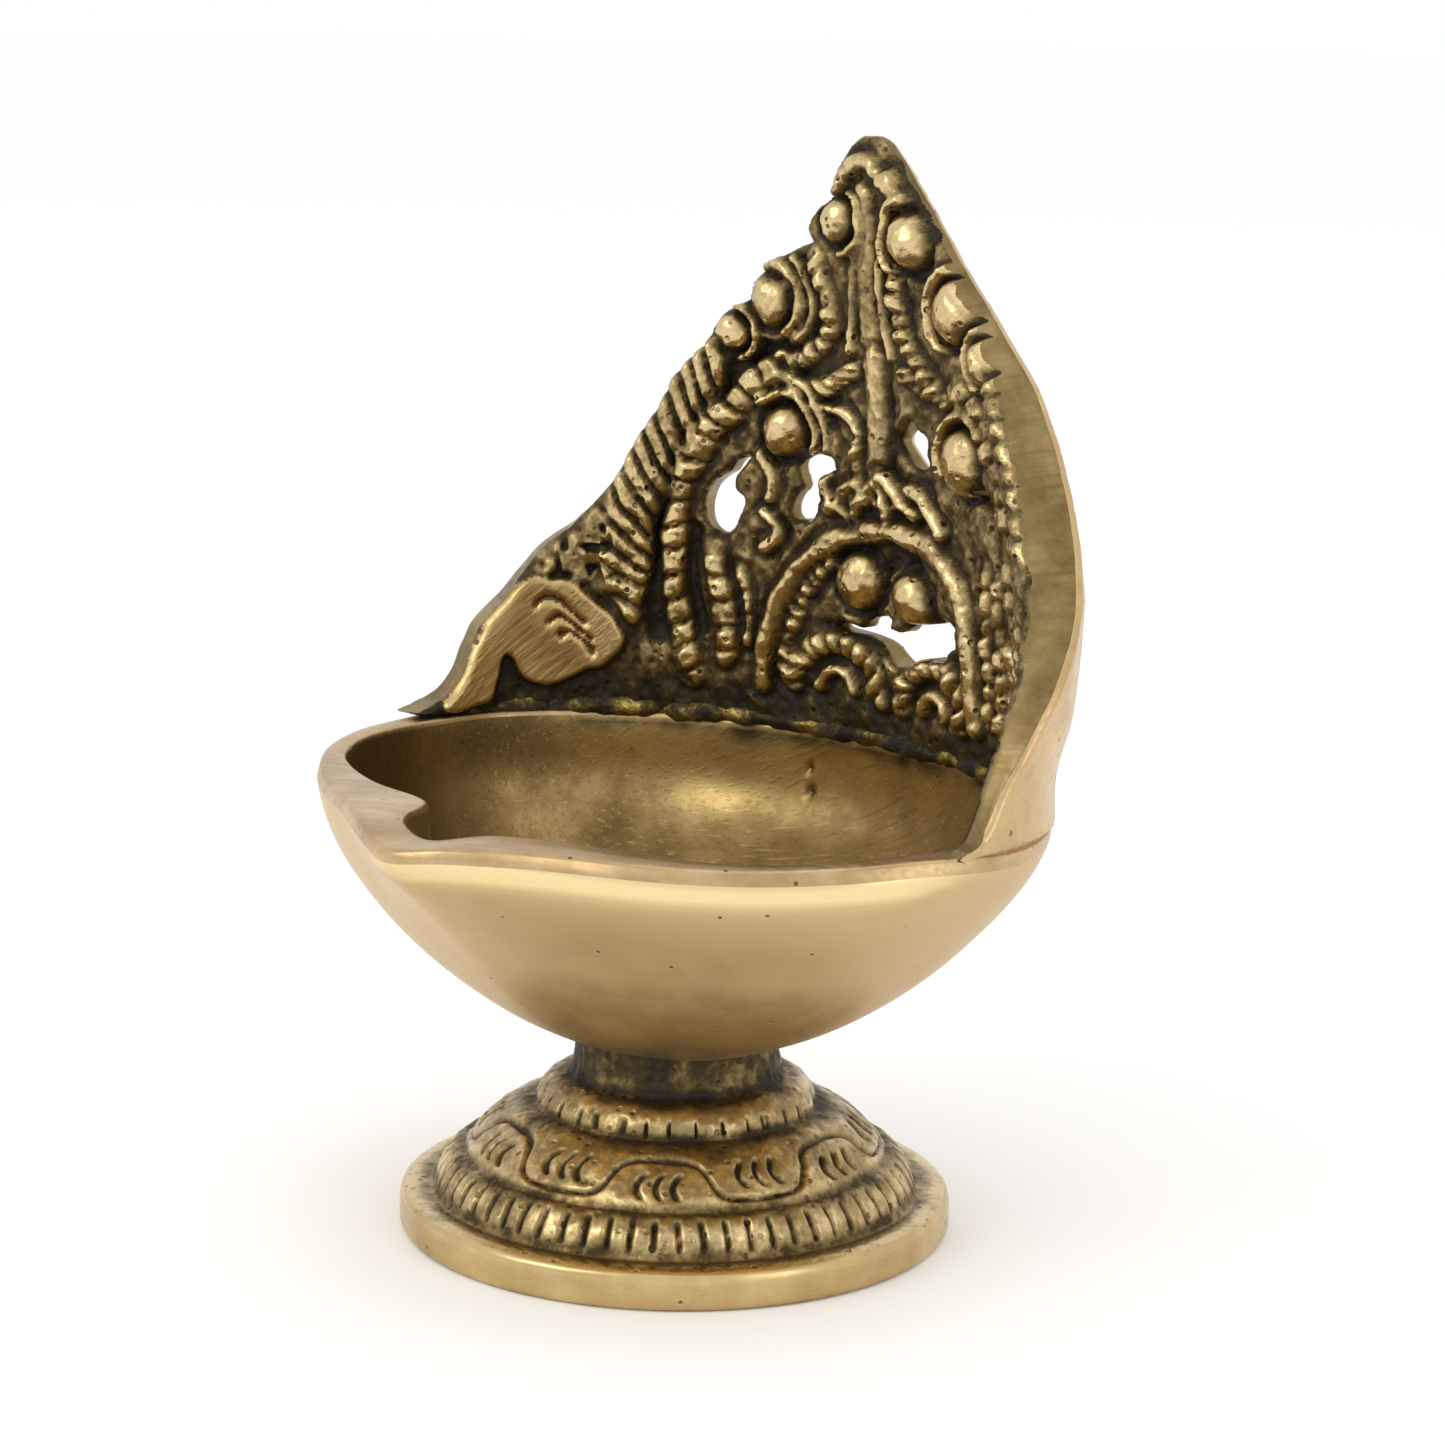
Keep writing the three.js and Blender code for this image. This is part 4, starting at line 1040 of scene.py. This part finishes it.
def aim_camera():
    """Azimuth about 50, elevation about 10, 300 mm from a point 50 mm up the foot's axis."""
    azimuth, elevation, away, lens_mm = 49.765, 9.924, 299.97, 89.69556
    yaw, pitch, roll = (math.radians(a) for a in (0.637, -1.244, 0.965))
    a, e = math.radians(azimuth), math.radians(elevation)
    out = np.array([math.sin(a) * math.cos(e), -math.cos(a) * math.cos(e), math.sin(e)])
    forward = -out
    right = np.cross(forward, [0, 0, 1])
    right /= np.linalg.norm(right)
    up = np.cross(right, forward)
    forward, right = turned(forward, right, yaw)
    forward, up = turned(forward, up, pitch)
    right, up = turned(right, up, roll)
    data = bpy.data.cameras.new("camera")
    data.sensor_width = 36
    data.lens = lens_mm
    data.clip_start = 0.01
    data.clip_end = 20
    camera = bpy.data.objects.new("camera", data)
    stand(camera, right, up, -forward, (out * away + [AXIS[0], AXIS[1], 50]) * 0.001)
    bpy.context.scene.camera = camera


def soft_light(name, place, target, size, power, colour=(1, 1, 1)):
    data = bpy.data.lights.new(name, "AREA")
    data.shape = "RECTANGLE"
    data.size, data.size_y = size
    data.energy = power
    data.color = colour
    direction = np.array(target, float) - place
    z = -direction / np.linalg.norm(direction)
    x = np.cross([0, 0, 1], z)
    x /= np.linalg.norm(x)
    stand(bpy.data.objects.new(name, data), x, np.cross(z, x), z, place)


def make_stage():
    mesh = bpy.data.meshes.new("floor")
    mesh.from_pydata([(-9, -9, 0), (9, -9, 0), (9, 9, 0), (-9, 9, 0)], [], [(0, 1, 2, 3)])
    floor = bpy.data.objects.new("floor", mesh)
    bpy.context.scene.collection.objects.link(floor)
    n = Nodes("floor_paint")
    n.shader.inputs["Roughness"].default_value = 0.9
    n.shader.inputs["Base Color"].default_value = (0.985, 0.985, 0.985, 1)
    mesh.materials.append(n.material)
    world = bpy.data.worlds.new("studio")
    bpy.context.scene.world = world
    world.use_nodes = True
    sky = world.node_tree.nodes["Background"].inputs
    sky["Color"].default_value = (1, 1, 1, 1)
    sky["Strength"].default_value = 1.0
    bpy.context.scene.view_settings.view_transform = "Standard"
    middle = (0, 0, 0.04)
    soft_light("key", (-0.10, -0.75, 0.55), middle, (0.5, 0.5), 1.8, (1, 0.98, 0.94))
    soft_light("side", (0.85, 0.05, 0.35), middle, (0.35, 0.6), 0.7)
    soft_light("top", (0.05, 0.1, 0.9), middle, (0.6, 0.6), 0.6)


aim_camera()
make_stage()
FILLER = filler_brass()
make_bowl()
make_plate()
make_seam("braze_bead_left", "braze_seam_left", -50, -25.6)
make_seam("braze_bead_back", "braze_seam_back", -26, 26)
make_seam("braze_bead_right", "braze_seam_right", 25.6, 51)
make_foot()
bolt_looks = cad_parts["foot_bolt"].data.materials
bolt_looks.clear()
bolt_looks.append(back_brass())
